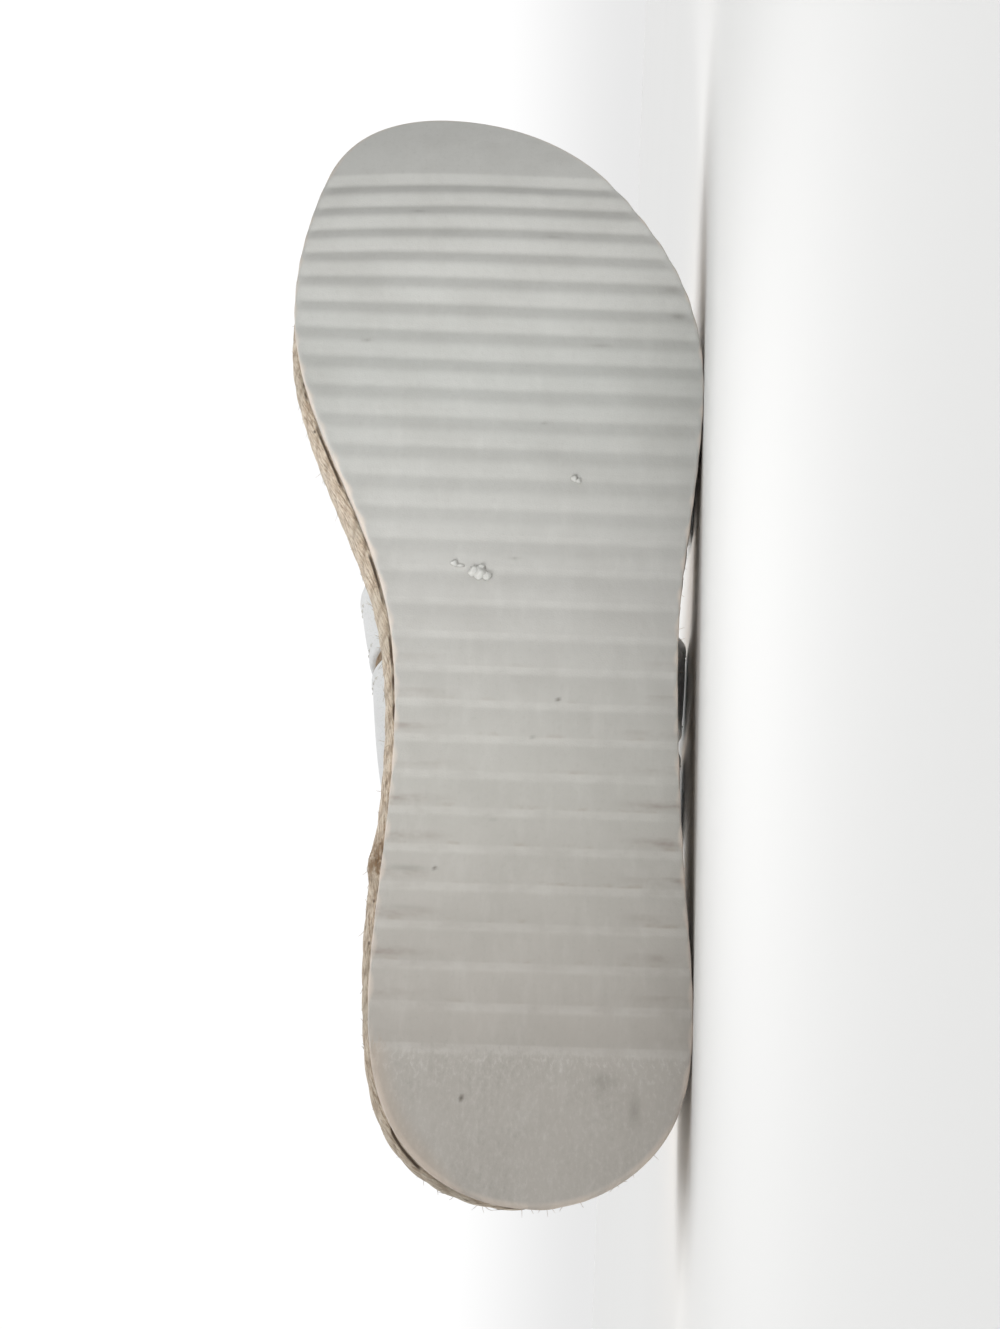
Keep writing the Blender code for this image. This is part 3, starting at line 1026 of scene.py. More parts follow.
@dataclass(frozen=True)
class LeatherFinish:
    """Grained leather in one colour, with faint clouds and darker pores."""

    name: str
    colour: Colour
    shade: Colour
    pebbles: float = 15.0
    depth: float = 0.09
    rough: float = 0.42
    clouds: Cloud = Cloud(scale=0.6)
    creases: Cloud = Cloud((1.2, 6.0), octaves=4.0, keep=0.6)
    crease_height: float = 0.16

    def material(self) -> Material:
        """Builds the finish: cells for the grain's pebbles, noise for clouds and fine creases.

        Returns:
            The material.
        """
        board = Board(self.name)
        cloud = board.step(board.cloud(self.clouds), 0.40, 0.75, 0.35)
        base = board.mix(cloud, self.colour, self.shade)
        distance, _ = board.cells(self.pebbles)
        pore = board.step(distance, 0.45, 0.80)
        base = board.cover(base, self.shade, pore, 0.22)
        normal = board.bump(board.sums("SUBTRACT", 1.0, pore), self.depth)
        normal = board.bump(board.cloud(self.creases), self.crease_height, normal)
        board.set(Base_Color=base, Normal=normal, Roughness=self.rough, Specular_IOR_Level=0.42)
        return board.material


@dataclass(frozen=True)
class ThreadFinish:
    """Twisted sewing thread."""

    name: str
    colour: Colour
    shade: Colour
    turns: Cloud = Cloud((3.0, 22.0), 35.0, octaves=2.0)
    turn_height: float = 0.08

    def material(self) -> Material:
        """Builds the finish with fine turns along the thread.

        Returns:
            The material.
        """
        board = Board(self.name)
        turn = board.cloud(self.turns)
        base = board.mix(board.step(turn, 0.35, 0.65), self.shade, self.colour)
        normal = board.bump(turn, self.turn_height)
        board.set(Base_Color=base, Normal=normal, Roughness=0.7, Specular_IOR_Level=0.3)
        return board.material


@dataclass(frozen=True)
class StudioFinish:
    """Matt pale paper for the floor."""

    colour: Colour = tone(250, 250, 249)
    shade: Colour = tone(247, 247, 246)
    clouds: Cloud = Cloud(scale=3.0, octaves=2.0, room=True)

    def material(self) -> Material:
        """Builds the finish with faint clouds.

        Returns:
            The material.
        """
        board = Board("studio_paper")
        base = board.mix(board.cloud(self.clouds), self.colour, self.shade)
        board.set(Base_Color=base, Roughness=0.85, Specular_IOR_Level=0.1)
        return board.material


def plan_solid(
    along: Array,
    edges: tuple[Array, Array],
    fine: Callable[[Array, Array, Array], Array],
    plain: Callable[[Array], Array],
    columns: int,
    bent: Optional[Callable[[Array, Array], Array]] = None,
) -> tuple[Array, Array]:
    """Closed sections across the shoe, with one finely shaped face and one plain face.

    At each place along, columns run from the inner to the outer edge, closer near the edges. The
    distance from the edge is the two sides' straight distances joined as a b / (a + b), which is
    right at the edges and at the round ends. The walls are straight between the two faces.

    Args:
        along: Places along the shoe.
        edges: Inner and outer edge at each place.
        fine: Height of the fine face from along, across and distance from the edge.
        plain: Height of the plain face from along.
        columns: Columns on the fine face.
        bent: Moves a point along, from along and across. It then slides to keep to the outline.

    Returns:
        Points as rows by columns by three, and for the same points the distance from the edge.
        The columns of the fine face come first.
    """
    inner, outer = edges
    share = np.linspace(-1, 1, columns)
    share = np.sign(share) * (1 - (1 - np.abs(share)) ** EDGE_CROWDING)
    x = np.repeat(along[:, None], columns, axis=1)
    y = inner[:, None] + (outer - inner)[:, None] * (1 + share) / 2
    if bent is not None:
        x = bent(x, y)
        inner, outer = np.interp(x, along, inner), np.interp(x, along, outer)
        y = inner + (outer - inner) * (1 + share) / 2
    else:
        inner, outer = inner[:, None], outer[:, None]
    steep = [np.interp(x, along, 1 / np.hypot(1, np.gradient(edge, along))) for edge in edges]
    a = (y - inner) * steep[0]
    b = (outer - y) * steep[1]
    distance = a * b / np.maximum(a + b, TINY)
    face = np.stack([x, y, fine(x, y, distance)], axis=2)
    back = np.linspace(0, 1, PLAIN_COLUMNS)
    across = face[:, -1:, 1] * (1 - back) + face[:, :1, 1] * back
    flat_x = x[:, -1:] * (1 - back) + x[:, :1] * back
    other = np.stack([flat_x, across, plain(flat_x)], axis=2)
    climb = (np.arange(1, WALL_STEPS) / WALL_STEPS)[None, :, None]
    outer_wall = face[:, -1:] + (other[:, :1] - face[:, -1:]) * climb
    inner_wall = other[:, -1:] + (face[:, :1] - other[:, -1:]) * climb
    points = np.concatenate([face, outer_wall, other, inner_wall], axis=1)
    rest = np.zeros((len(along), points.shape[1] - columns))
    return points, np.concatenate([distance, rest], axis=1)


def ring_edges(ring: Ring, steps: int) -> tuple[Array, tuple[Array, Array]]:
    """Places along a ring, closer at its ends, with its inner and outer edge at each.

    Args:
        ring: A closed line that starts at the toe and goes down the inner side.
        steps: How many places.

    Returns:
        The places, and the two edges.
    """
    heel = int(np.argmin(ring.plan[:, 0]))
    inner = ring.plan[: heel + 1][::-1]
    outer = np.vstack([ring.plan[heel:], ring.plan[:1]])
    angle = np.linspace(END_ANGLE, math.pi - END_ANGLE, steps)
    low, high = inner[0, 0], min(inner[-1, 0], outer[-1, 0])
    along = low + (high - low) * (1 - np.cos(angle)) / 2
    edges = (
        np.interp(along, np.maximum.accumulate(line[:, 0]), line[:, 1]) for line in (inner, outer)
    )
    return along, tuple(edges)


def closed_columns(points: Array) -> Array:
    """The points with their first column again after the last."""
    return np.concatenate([points, points[:, :1]], axis=1)


def rolled(distance: Array, radius: float) -> Array:
    """How far a round edge falls away at a distance from it."""
    near = radius - np.clip(distance, 0, radius)
    return radius - np.sqrt(radius**2 - near**2)


@dataclass
class Outsole:
    """The ribbed rubber outsole: zigzag ribs under the ball, low round ribs to the rear."""

    plan: ShoePlan
    edge_round: float = 0.8
    rib_start: float = 23.35
    rib_count: int = 28
    rib_pitch: float = 7.62
    rib_depth_heel: float = 0.3
    rib_depth_toe: float = 1.15
    rib_growth: float = 2.4
    rib_soft: float = 0.2
    rib_steps: int = 20
    rib_power: float = 1.75
    # how far the power drops, where that begins and over which length
    power_drops: Sequence[Sequence[float]] = ((0.65, 82.0, 65.0), (0.1, 229.0, 5.0))
    # share of the depth at the edge, and the width over which grooves reach their full depth
    rib_end: tuple[float, float] = (0.4, 2.4)
    rib_bend: float = 0.0018
    # where the bend begins across and along, and the length over which it grows
    bend_across: float = -12.0
    bend_along: float = 185.0
    bend_reach: float = 45.0
    end_steps: int = 40
    end_angle: float = 0.035
    columns: int = 97
    scallop: float = 0.1
    wave_reach: float = 6.0
    # middle, half width and softness of the clean line, partly painted light in the groove's shade,
    # from the middle of its groove
    clean_and_lit_line: tuple[float, float, float] = (0.5, 1.1, 0.5)
    # middle and spread of smudges and of the painted shade on the lip, from the middle of the
    # groove
    crest_line: tuple[float, float] = (3.0, 0.8)
    lip_line: tuple[float, float] = (1.65, 0.35)
    # width of the edge's wear and painted highlight in a groove, and what a crest adds to it
    worn_and_lit_edge: tuple[float, float] = (0.25, 1.0)
    rim_reach: float = 15.0
    # where the tan of the rim ends across, and the width over which it fades
    tan_end: float = 10.0
    tan_fade: float = 30.0
    # along, across, half length along, half length across, height of crumbs left by the glue
    crumbs: Sequence[Sequence[float]] = (
        (128.0, -18.2, 0.7, 0.8, 0.8),
        (127.5, -16.9, 0.3, 0.9, 0.4),
        (126.3, -13.9, 1.2, 1.2, 0.9),
        (125.8, -12.6, 1.4, 1.4, 1.2),
        (125.2, -11.2, 1.0, 1.1, 0.9),
        (127.2, -12.4, 0.7, 0.9, 0.7),
        (149.6, 7.4, 0.8, 0.7, 0.8),
        (149.0, 8.3, 0.5, 0.6, 0.5),
    )
    crumb_rows: int = 15
    crumb_columns: int = 24
    # along, across, half length along, half length across, strength of dark specks and marks
    specks: Sequence[Sequence[float]] = (
        (18.9, -12.6, 0.45, 0.4, 1.0),
        (17.5, 19.5, 2.4, 0.9, 0.3),
        (22.5, 13.6, 1.5, 1.8, 0.22),
        (61.7, -19.4, 0.34, 0.34, 1.0),
        (89.4, -0.5, 0.34, 0.34, 1.0),
        (97.8, 4.3, 0.3, 0.3, 1.0),
        (71.9, -8.3, 0.3, 0.3, 1.0),
        (53.9, -25.0, 0.5, 3.6, 0.15),
        (61.6, -25.0, 0.55, 3.6, 0.3),
        (129.6, -5.4, 0.3, 0.9, 0.3),
        (163.6, 0.9, 0.4, 0.5, 0.4),
        (183.5, -40.5, 0.5, 1.0, 0.3),
        (184.5, 13.3, 0.5, 2.2, 0.2),
        (193.4, 31.2, 0.9, 1.6, 0.3),
        (200.8, 30.1, 1.1, 2.4, 0.2),
        (215.2, 2.0, 0.5, 1.8, 0.2),
        (222.2, -30.5, 0.5, 1.5, 0.25),
    )

    @property
    def rib_end_arc(self) -> float:
        """Where the ribs end, as a length of the sole's curve."""
        return self.rib_start + self.rib_count * self.rib_pitch

    def stations(self) -> tuple[Array, Array]:
        """Places along the sole: close at the round ends, and even over each rib.

        Returns:
            The places along, and the same places as lengths of the sole's curve.
        """
        start, radius = self.plan.spring_start, self.plan.spring_radius
        arc = np.linspace(self.rib_start, self.rib_end_arc, self.rib_count * self.rib_steps + 1)
        bend = np.clip(arc - start, 0, None) / radius
        ribs = np.minimum(arc, start) + radius * np.sin(bend)
        angle = np.linspace(self.end_angle, math.pi / 2, self.end_steps)
        heel = self.rib_start * (1 - np.cos(angle))
        toe_angle = np.linspace(0, math.pi / 2 - self.end_angle, self.end_steps)
        toe = ribs[-1] + (self.plan.length - ribs[-1]) * np.sin(toe_angle)
        along = np.concatenate([heel[:-1], ribs, toe[1:]])
        return along, np.concatenate([heel[:-1], arc, self.rib_end_arc + toe[1:] - ribs[-1]])

    def groove(self, arc: Array) -> Array:
        """The share of the groove's depth: a zigzag with soft corners, raised to a power.

        Within a short reach of a crest or a valley, a parabola takes the corner's place. A power
        near one keeps two even facets, as under the ball. A higher power rounds the crest more
        than the valley, as to the rear.

        Args:
            arc: Lengths of the sole's curve.

        Returns:
            0 on the crests and outside the ribs, and most in the valleys.
        """
        turn = (arc - self.rib_start) / self.rib_pitch
        zigzag = 1 - np.abs(2 * (turn % 1) - 1)
        soft = self.rib_soft
        crest = np.clip(soft - zigzag, 0, None) ** 2 / (2 * soft)
        valley = np.clip(soft - (1 - zigzag), 0, None) ** 2 / (2 * soft)
        zigzag = np.clip(zigzag + crest - valley - soft / 2, 0, None)
        drops = (drop * ease((arc - begin) / reach) for drop, begin, reach in self.power_drops)
        inside = (turn >= 0) & (turn <= self.rib_count)
        return np.where(inside, zigzag ** (self.rib_power - sum(drops)), 0.0)

    def bent(self, along: Array, across: Array) -> Array:
        """Places along, with the ribs' inner ends bent back under the toes by across squared."""
        side = np.clip(self.bend_across - across, 0, None)
        return along - self.rib_bend * side**2 * ease((along - self.bend_along) / self.bend_reach)

    def wave(self, along: Array, across: Array) -> Array:
        """The moulding's slow unevenness: two crossed waves, a tenth of a millimetre at most."""
        wide = 0.07 * np.sin(along / 13.0 + 0.6) * np.cos(across / 9.0 + 0.3)
        return wide + 0.05 * np.sin(along / 5.1 + across / 7.3)

    def crumb(self, along: float, across: float, sizes: Sequence[float], number: int) -> Patch:
        """A crumb of glue on the sole: a ball of three sizes with waves over it.

        Args:
            along: Place along.
            across: Place across.
            sizes: Half length along, half length across and height.
            number: Shifts the waves, so that no two crumbs are alike.

        Returns:
            The faces. Their tags paint shade on the outer side and a highlight on the inner one.
        """
        rows, columns = self.crumb_rows, self.crumb_columns
        polar = np.linspace(0.06, math.pi - 0.06, rows)[:, None]
        angle = np.linspace(0, 2 * math.pi, columns, endpoint=False)[None, :]
        wave = 1 + 0.13 * np.sin(3 * angle + number) * np.sin(polar) ** 2
        wave = wave + 0.10 * np.cos(5 * polar + 2 * number)
        wave = wave + 0.09 * np.sin(7 * angle + 2.3 * number) * np.sin(3 * polar) * np.sin(polar)
        level = np.sin(polar)
        ball = np.stack(
            [level * np.cos(angle), level * np.sin(angle), -np.cos(polar) + 0 * angle], axis=2
        )
        points = np.array([along, across, 0.1]) + wave[..., None] * ball * np.array(sizes)
        spots = np.meshgrid(np.arange(rows) / 50, np.arange(columns + 1) / 50, indexing="ij")
        tags = {
            "along": np.full((rows, columns), 0.6),
            # painted highlight on the inner side and painted shade on the outer side
            "clean": 12 * np.clip(0.5 - ball[..., 1], 0, 1),
            "speck": 0.6 * np.clip(ball[..., 1] - 0.2, 0, 1),
        }
        return grid_patch(points, np.stack(spots, axis=2), tags=tags)

    def tags(self, along: Array, arc: Array, points: Array, distance: Array) -> dict[str, Array]:
        """What the rubber's finish reads from the mesh.

        Args:
            along: Places along the sole.
            arc: The same places as lengths of its curve.
            points: Points of the outsole.
            distance: Their distance from the edge.

        Returns:
            The share of the length, lines by their distance from each groove (the lighter line
            partly painted light, the lip painted shade), the edge's wear with its painted
            highlight, the rim, its tan side and the specks. Apart from the edge, they keep to the
            face below.
        """
        below_face = (np.arange(points.shape[1]) < self.columns)[None, :]
        inside = (arc > self.rib_start) & (arc < self.rib_end_arc)
        valley = (arc - self.rib_start) % self.rib_pitch - self.rib_pitch / 2
        valley = np.where(inside, valley, self.rib_pitch)
        x, y = points[..., 0], points[..., 1]
        speck = sum(
            strength * hump(x, middle, long) * hump(y, side, wide)
            for middle, side, long, wide, strength in self.specks
        )
        # the clean line: clean rubber, partly painted light in the groove's shade
        middle, half, soft = self.clean_and_lit_line
        clean = ease((half - np.abs(valley - middle)) / soft)
        # the edge's wear carries a painted highlight, wider at the crests
        worn_and_lit = self.worn_and_lit_edge[0] + self.worn_and_lit_edge[1] * (1 - self.groove(arc)[:, None]) ** 2
        rim = np.clip(1 - distance / self.rim_reach, 0, 1) * below_face
        return {
            "along": np.repeat(along[:, None] / self.plan.length, points.shape[1], axis=1),
            "clean": clean[:, None] * below_face,
            "crest": hump(valley, *self.crest_line)[:, None] * below_face,
            "lip": hump(valley, *self.lip_line)[:, None] * below_face,
            "edge": np.clip(1 - distance / worn_and_lit, 0, 1),
            "rim": rim,
            "tan": rim * ease((self.tan_end - y) / self.tan_fade),
            "speck": np.clip(speck, 0, 1) * below_face,
        }

    def build(self, shop: Workshop, rubber: Material) -> None:
        """Makes the outsole in place of its solid.

        The face below is the toe spring, plus the grooves, plus a round edge, plus a slow wave
        of the moulding. The grooves run out toward the edge.

        Args:
            shop: Where pieces are made.
            rubber: Its finish.
        """
        plan = self.plan
        along, arc = self.stations()
        share = self.groove(arc)
        rise = np.clip((arc - self.rib_start) / (self.rib_end_arc - self.rib_start), 0, 1)
        growth = (self.rib_depth_toe - self.rib_depth_heel) * rise**self.rib_growth
        depth = share * (self.rib_depth_heel + growth)
        pull = self.scallop * share
        edges = (plan.edge(Side.INNER, along) + pull, plan.edge(Side.OUTER, along) - pull)
        at_edge, full = self.rib_end

        def below(x: Array, y: Array, distance: Array) -> Array:
            """The height of the face below."""
            grooves = depth[:, None] * (at_edge + (1 - at_edge) * ease(distance / full))
            wave = self.wave(x, y) * ease(distance / self.wave_reach)
            return plan.lift(x) + grooves + rolled(distance, self.edge_round) + wave

        def above(x: Array) -> Array:
            """The height of the face above."""
            return plan.lift(x) + plan.outsole_thick

        points, distance = plan_solid(along, edges, below, above, self.columns, self.bent)
        tags = self.tags(along, arc, points, distance)
        x, y, z = np.moveaxis(closed_columns(points), 2, 0)
        around = y + np.sign(y) * (z - plan.lift(x))
        uv = np.stack([np.repeat(arc[:, None], x.shape[1], axis=1), around], axis=2) / 10
        sole = grid_patch(points, uv, tags=tags)
        shop.piece("outsole_rubber", [sole], [rubber], "outsole_rubber", "outsole")
        crumbs = [
            self.crumb(row[0], row[1], row[2:], number) for number, row in enumerate(self.crumbs)
        ]
        shop.piece("glue_crumbs", crumbs, [rubber], "outsole_rubber", None, SMOOTH)


@dataclass
class JuteWedge:
    """The wedge: rows of twisted jute cord round a core, with a rim row along the footbed."""

    plan: ShoePlan
    pitch: float = 5.0
    rows: int = 7
    rim_drop: float = 2.7
    under_rim: float = 3.0
    half_tall: float = 2.7
    half_deep: float = 2.0
    strands: int = 3
    lay: float = 19.0
    strand_depth: float = 0.12
    lobe_power: float = 0.75
    # how far the strands sway round the cord, in radians, and over which length
    sway: float = 0.25
    sway_length: float = 37.0
    # length over which an open row's end thins, its size at the end and how far it is tucked in
    tip_length: float = 16.0
    tip_size: float = 0.35
    tip_tuck: float = 1.2
    # height on the section where the painted shade of rows touching begins, and over which it grows
    meet_shade_from: float = 0.7
    meet_shade_reach: float = 0.25
    # where the painted shadow of slits shows along the outsole, each place with the length over
    # which it begins
    waist_slit_shadows: Sequence[Sequence[float]] = ((84.0, 12.0), (182.0, 10.0))
    heel_slit_shadow: tuple[float, float] = (18.0, 6.0)
    # sine of the section's angle below which the painted shadow of slits can be
    slit_shadow_sine: float = 0.1
    # past tag where no painted slit shadow can be, and what hides one by shifting it
    no_slit_shadow: float = 9.0
    slit_shadow_shift: float = 3.0
    step: float = 0.8
    sides: int = 18
    core_inset: float = 2.1
    core_raise: float = 0.9
    core_drop: float = 0.4
    core_steps: int = 90
    core_columns: int = 15
    fibres: int = 3200
    fibre_seed: int = 7
    fibre_length: tuple[float, float] = (0.6, 1.8)
    fibre_rise: tuple[float, float] = (0.05, 0.4)
    fibre_curl: float = 0.35
    fibre_radii: Sequence[float] = (0.055, 0.05, 0.045, 0.04, 0.015)
    fibre_above_floor: float = 0.0004
    fibre_above_rim: float = 0.2
    # along, spread, size and stain of bulges on the inner side of the lowest row, first its end
    bulges: Sequence[Sequence[float]] = ((64.0, 4.2, 0.9, 1.0), (50.0, 10.0, 0.4, 0.1))

    def level(self, row: int, along: Array) -> Array:
        """The height of a row's middle."""
        low = self.plan.outsole_thick + self.plan.gap
        return self.plan.lift(along) + low + (row + 0.5) * self.pitch

    def row_ring(self, row: int) -> Ring:
        """The line of a row's middle: closed for low rows, and round the heel alone for high ones.

        Args:
            row: Number of the row from the ground.

        Returns:
            The line, at even steps.
        """
        ring = self.plan.ring(-self.half_deep, lambda along: self.level(row, along))
        along = ring.plan[:, 0]
        below = self.level(row, along) < self.plan.jute_top(along) - self.under_rim
        if below.all():
            return ring.evened(self.step)
        return Ring(ring.plan[below], ring.out[below], False).evened(self.step)

    def slits(self, along: Array) -> Array:
        """1 where the painted shadow of the slits shows along the outsole, at the waist and round
        the heel.
        """
        (first, first_soft), (last, last_soft) = self.waist_slit_shadows
        waist = ease((along - first) / first_soft) * ease((last - along) / last_soft)
        end, soft = self.heel_slit_shadow
        return np.maximum(waist, ease((end - along) / soft))

    def cord(
        self,
        ring: Ring,
        height: Array,
        twist: Twist,
        swell: Array,
        stain: Array,
        over: Optional[Array] = None,
    ) -> Patch:
        """A cord along a line.

        The section is an ellipse whose radius has one round lobe for each strand. The lobes turn
        with the length, one full turn in each lay, so that the strands wind round.

        Args:
            ring: The line of the cord's middle.
            height: The height of each point of the line.
            twist: Which way the strands turn.
            swell: How far each point is moved out.
            stain: How stained each point is.
            over: For the row on the outsole, how far the jute stands out past it.

        Returns:
            The faces. The strand tag is 1 on the strands, and 0 between them and where two rows
            touch, where the finish paints shade. The past tag is the distance past the outsole, for
            the painted shadow of the slits along it.
        """
        count = len(ring.plan)
        length = ring.length()
        run = np.linspace(0, length, count, endpoint=not ring.closed)
        turns = max(round(length / self.lay * self.strands), 1) / self.strands
        angle = 2 * math.pi * np.arange(self.sides) / self.sides
        wound = angle[None, :] - twist.value * 2 * math.pi * turns * (run / length)[:, None]
        sways = np.round(length / self.sway_length)
        wobble = self.sway * np.sin(2 * math.pi * sways * run / length)[:, None]
        lobe = np.abs(np.cos(self.strands / 2 * (wound + wobble))) ** self.lobe_power
        tip = np.ones(count)
        if not ring.closed:
            tip = ease(np.minimum(run, length - run) / self.tip_length)
        radius = 1 - self.strand_depth * (1 - lobe)
        radius = radius * (self.tip_size + (1 - self.tip_size) * tip)[:, None]
        deep = radius * np.cos(angle) * self.half_deep
        middle = ring.plan + (swell - self.tip_tuck * (1 - tip))[:, None] * ring.out
        outward = middle[:, None, :] + deep[..., None] * ring.out[:, None, :]
        tall = height[:, None] + radius * np.sin(angle) * self.half_tall
        points = np.concatenate([outward, tall[..., None]], axis=2)
        u = np.linspace(0, length, count + (1 if ring.closed else 0)) / 10
        v = np.linspace(0, 2 * math.pi * self.half_tall, self.sides + 1) / 10
        uv = np.stack(np.meshgrid(u, twist.value * v, indexing="ij"), axis=2)
        # painted shade where two rows touch, none under the lowest row
        meet_shade = ease((np.abs(np.sin(angle)) - self.meet_shade_from) / self.meet_shade_reach)
        past = np.zeros_like(lobe)
        if over is not None:
            meet_shade = np.where(np.sin(angle) > 0, meet_shade, 0.0)
            # places the painted shadow of the slits along the outsole
            hidden = self.slit_shadow_shift * (1 - self.slits(ring.plan[:, 0]))
            out = (over + swell - self.half_deep + hidden)[:, None] + deep
            past = np.where(np.sin(angle) < self.slit_shadow_sine, out, self.no_slit_shadow)
        tags = {"strand": lobe * (1 - meet_shade), "past": past, "stain": stain[:, None] + 0 * lobe}
        return grid_patch(points, uv, ring.closed, tags)

    def loose_fibres(self, cords: Sequence[Patch], place: LyingPlace) -> Patch:
        """Short stray fibres on the cords.

        Each leaves a point of a cord and curves away: its start, plus its length along one
        direction, plus a droop that grows with the square of the length. Those that would reach
        the floor or stand above the rim are left out.

        Args:
            cords: The cords they grow on.
            place: How the shoe lies.

        Returns:
            The faces.
        """
        chance = np.random.default_rng(self.fibre_seed)
        count = self.fibres
        skin = np.concatenate([cord.points.reshape(-1, self.sides, 3) for cord in cords])
        middle = skin.mean(axis=1)
        pick = chance.integers(1, len(skin) - 1, count)
        root = skin[pick, chance.integers(0, self.sides, count)]
        outward = unit(root - middle[pick])
        along = unit(middle[pick + 1] - middle[pick - 1])
        way = chance.normal(0, 1.0, (count, 1)) * along
        way = unit(way + chance.uniform(*self.fibre_rise, (count, 1)) * outward)
        bend = unit(chance.normal(0, 1.0, (count, 3)))
        size = chance.uniform(*self.fibre_length, (count, 1))
        far = np.linspace(0, 1, len(self.fibre_radii))[None, :, None]
        droop = (self.fibre_curl * size * bend)[:, None]
        paths = root[:, None] + far * (size * way)[:, None] + far**2 * droop
        clear = place.point(paths)[..., 2].min(axis=1) > self.fibre_above_floor
        rim = self.plan.jute_top(paths[..., 0]) + self.fibre_above_rim
        kept = clear & (rim > paths[..., 2]).all(axis=1)
        radii = np.tile(self.fibre_radii, (int(kept.sum()), 1))
        return tubes_patch(paths[kept], radii, bend[kept], 3)

    def core(self) -> Patch:
        """The core behind the rows: a plain solid just inside them.

        Returns:
            The faces.
        """
        plan = self.plan
        low = plan.outsole_thick + plan.gap + self.core_raise
        along, edges = ring_edges(plan.ring(-self.core_inset, plan.jute_top), self.core_steps)
        points, _ = plan_solid(
            along,
            edges,
            lambda x, y, distance: plan.lift(x) + low,
            lambda x: plan.jute_top(x) - self.core_drop,
            self.core_columns,
        )
        return grid_patch(points, closed_columns(points)[..., :2] / 10)

    def row_cord(self, row: int) -> Patch:
        """A row's cord. The lowest one has bulges and lies past the outsole.

        Args:
            row: Number of the row from the ground.

        Returns:
            The faces.
        """
        ring = self.row_ring(row)
        along, across = ring.plan.T
        swell, stain = np.zeros(len(along)), np.zeros(len(along))
        over = None
        if row == 0:
            inner, outer = (self.plan.overhang(side, along) for side in Side)
            over = np.where(across < 0, inner, outer)
            for middle, spread, size, brown in self.bulges:
                bell = hump(along, middle, spread) * (across < 0)
                swell += size * bell
                stain += brown * bell
        twist = Twist.LEFT if row % 2 else Twist.RIGHT
        return self.cord(ring, self.level(row, along), twist, swell, stain, over)

    def build(self, shop: Workshop, jute: Material, fibre: Material) -> None:
        """Makes the rows in place of the wedge's solid, then the rim row, the core and the fibres.

        Args:
            shop: Where pieces are made.
            jute: Finish of the cords.
            fibre: Finish of the stray fibres.
        """
        plan = self.plan
        cords = [self.row_cord(row) for row in range(self.rows)]
        shop.piece("jute_rows", cords, [jute], "jute_cord", "jute_wedge", SMOOTH)
        ring = plan.ring(-self.half_deep, plan.jute_top).evened(self.step)
        none = np.zeros(len(ring.plan))
        height = plan.jute_top(ring.plan[:, 0]) - self.rim_drop
        rim = self.cord(ring, height, Twist.LEFT, none, none)
        shop.piece("jute_rim_row", [rim], [jute], "jute_cord", None, SMOOTH)
        shop.piece("wedge_core", [self.core()], [jute], "jute_cord")
        hairs = self.loose_fibres([*cords, rim], shop.place)
        shop.piece("jute_fibres", [hairs], [fibre], "jute_cord")


@dataclass(frozen=True)
class Stitch:
    """A stitch: the distance from one to the next, its length and the thread's radius."""

    pitch: float
    long: float
    thick: float
    # in radii: height of its middle, depth of its ends, and the radius there
    rise: float = 1.5
    dip: float = 0.6
    end: float = 0.6
    steps: int = 5
    sides: int = 6

    def along(self, path: Array, outward: Array) -> Patch:
        """Stitches along a line: short tubes that rise from the surface and dip back at both ends.

        Args:
            path: Points of the line, on the surface.
            outward: The surface's direction at each point.

        Returns:
            The faces.
        """
        run = run_along(path)
        starts = np.arange(self.pitch, run[-1] - self.long - self.pitch / 2, self.pitch)
        share = np.linspace(0, 1, self.steps)
        at = starts[:, None] + self.long * share[None, :]
        up = unit(read_along(at, run, outward))
        arch = np.sin(math.pi * share)
        height = self.thick * (self.rise * arch - self.dip)
        paths = read_along(at, run, path) + up * height[None, :, None]
        radius = self.thick * (self.end + (1 - self.end) * arch)
        radii = np.repeat(radius[None, :], len(starts), axis=0)
        return tubes_patch(paths, radii, up[:, self.steps // 2], self.sides)


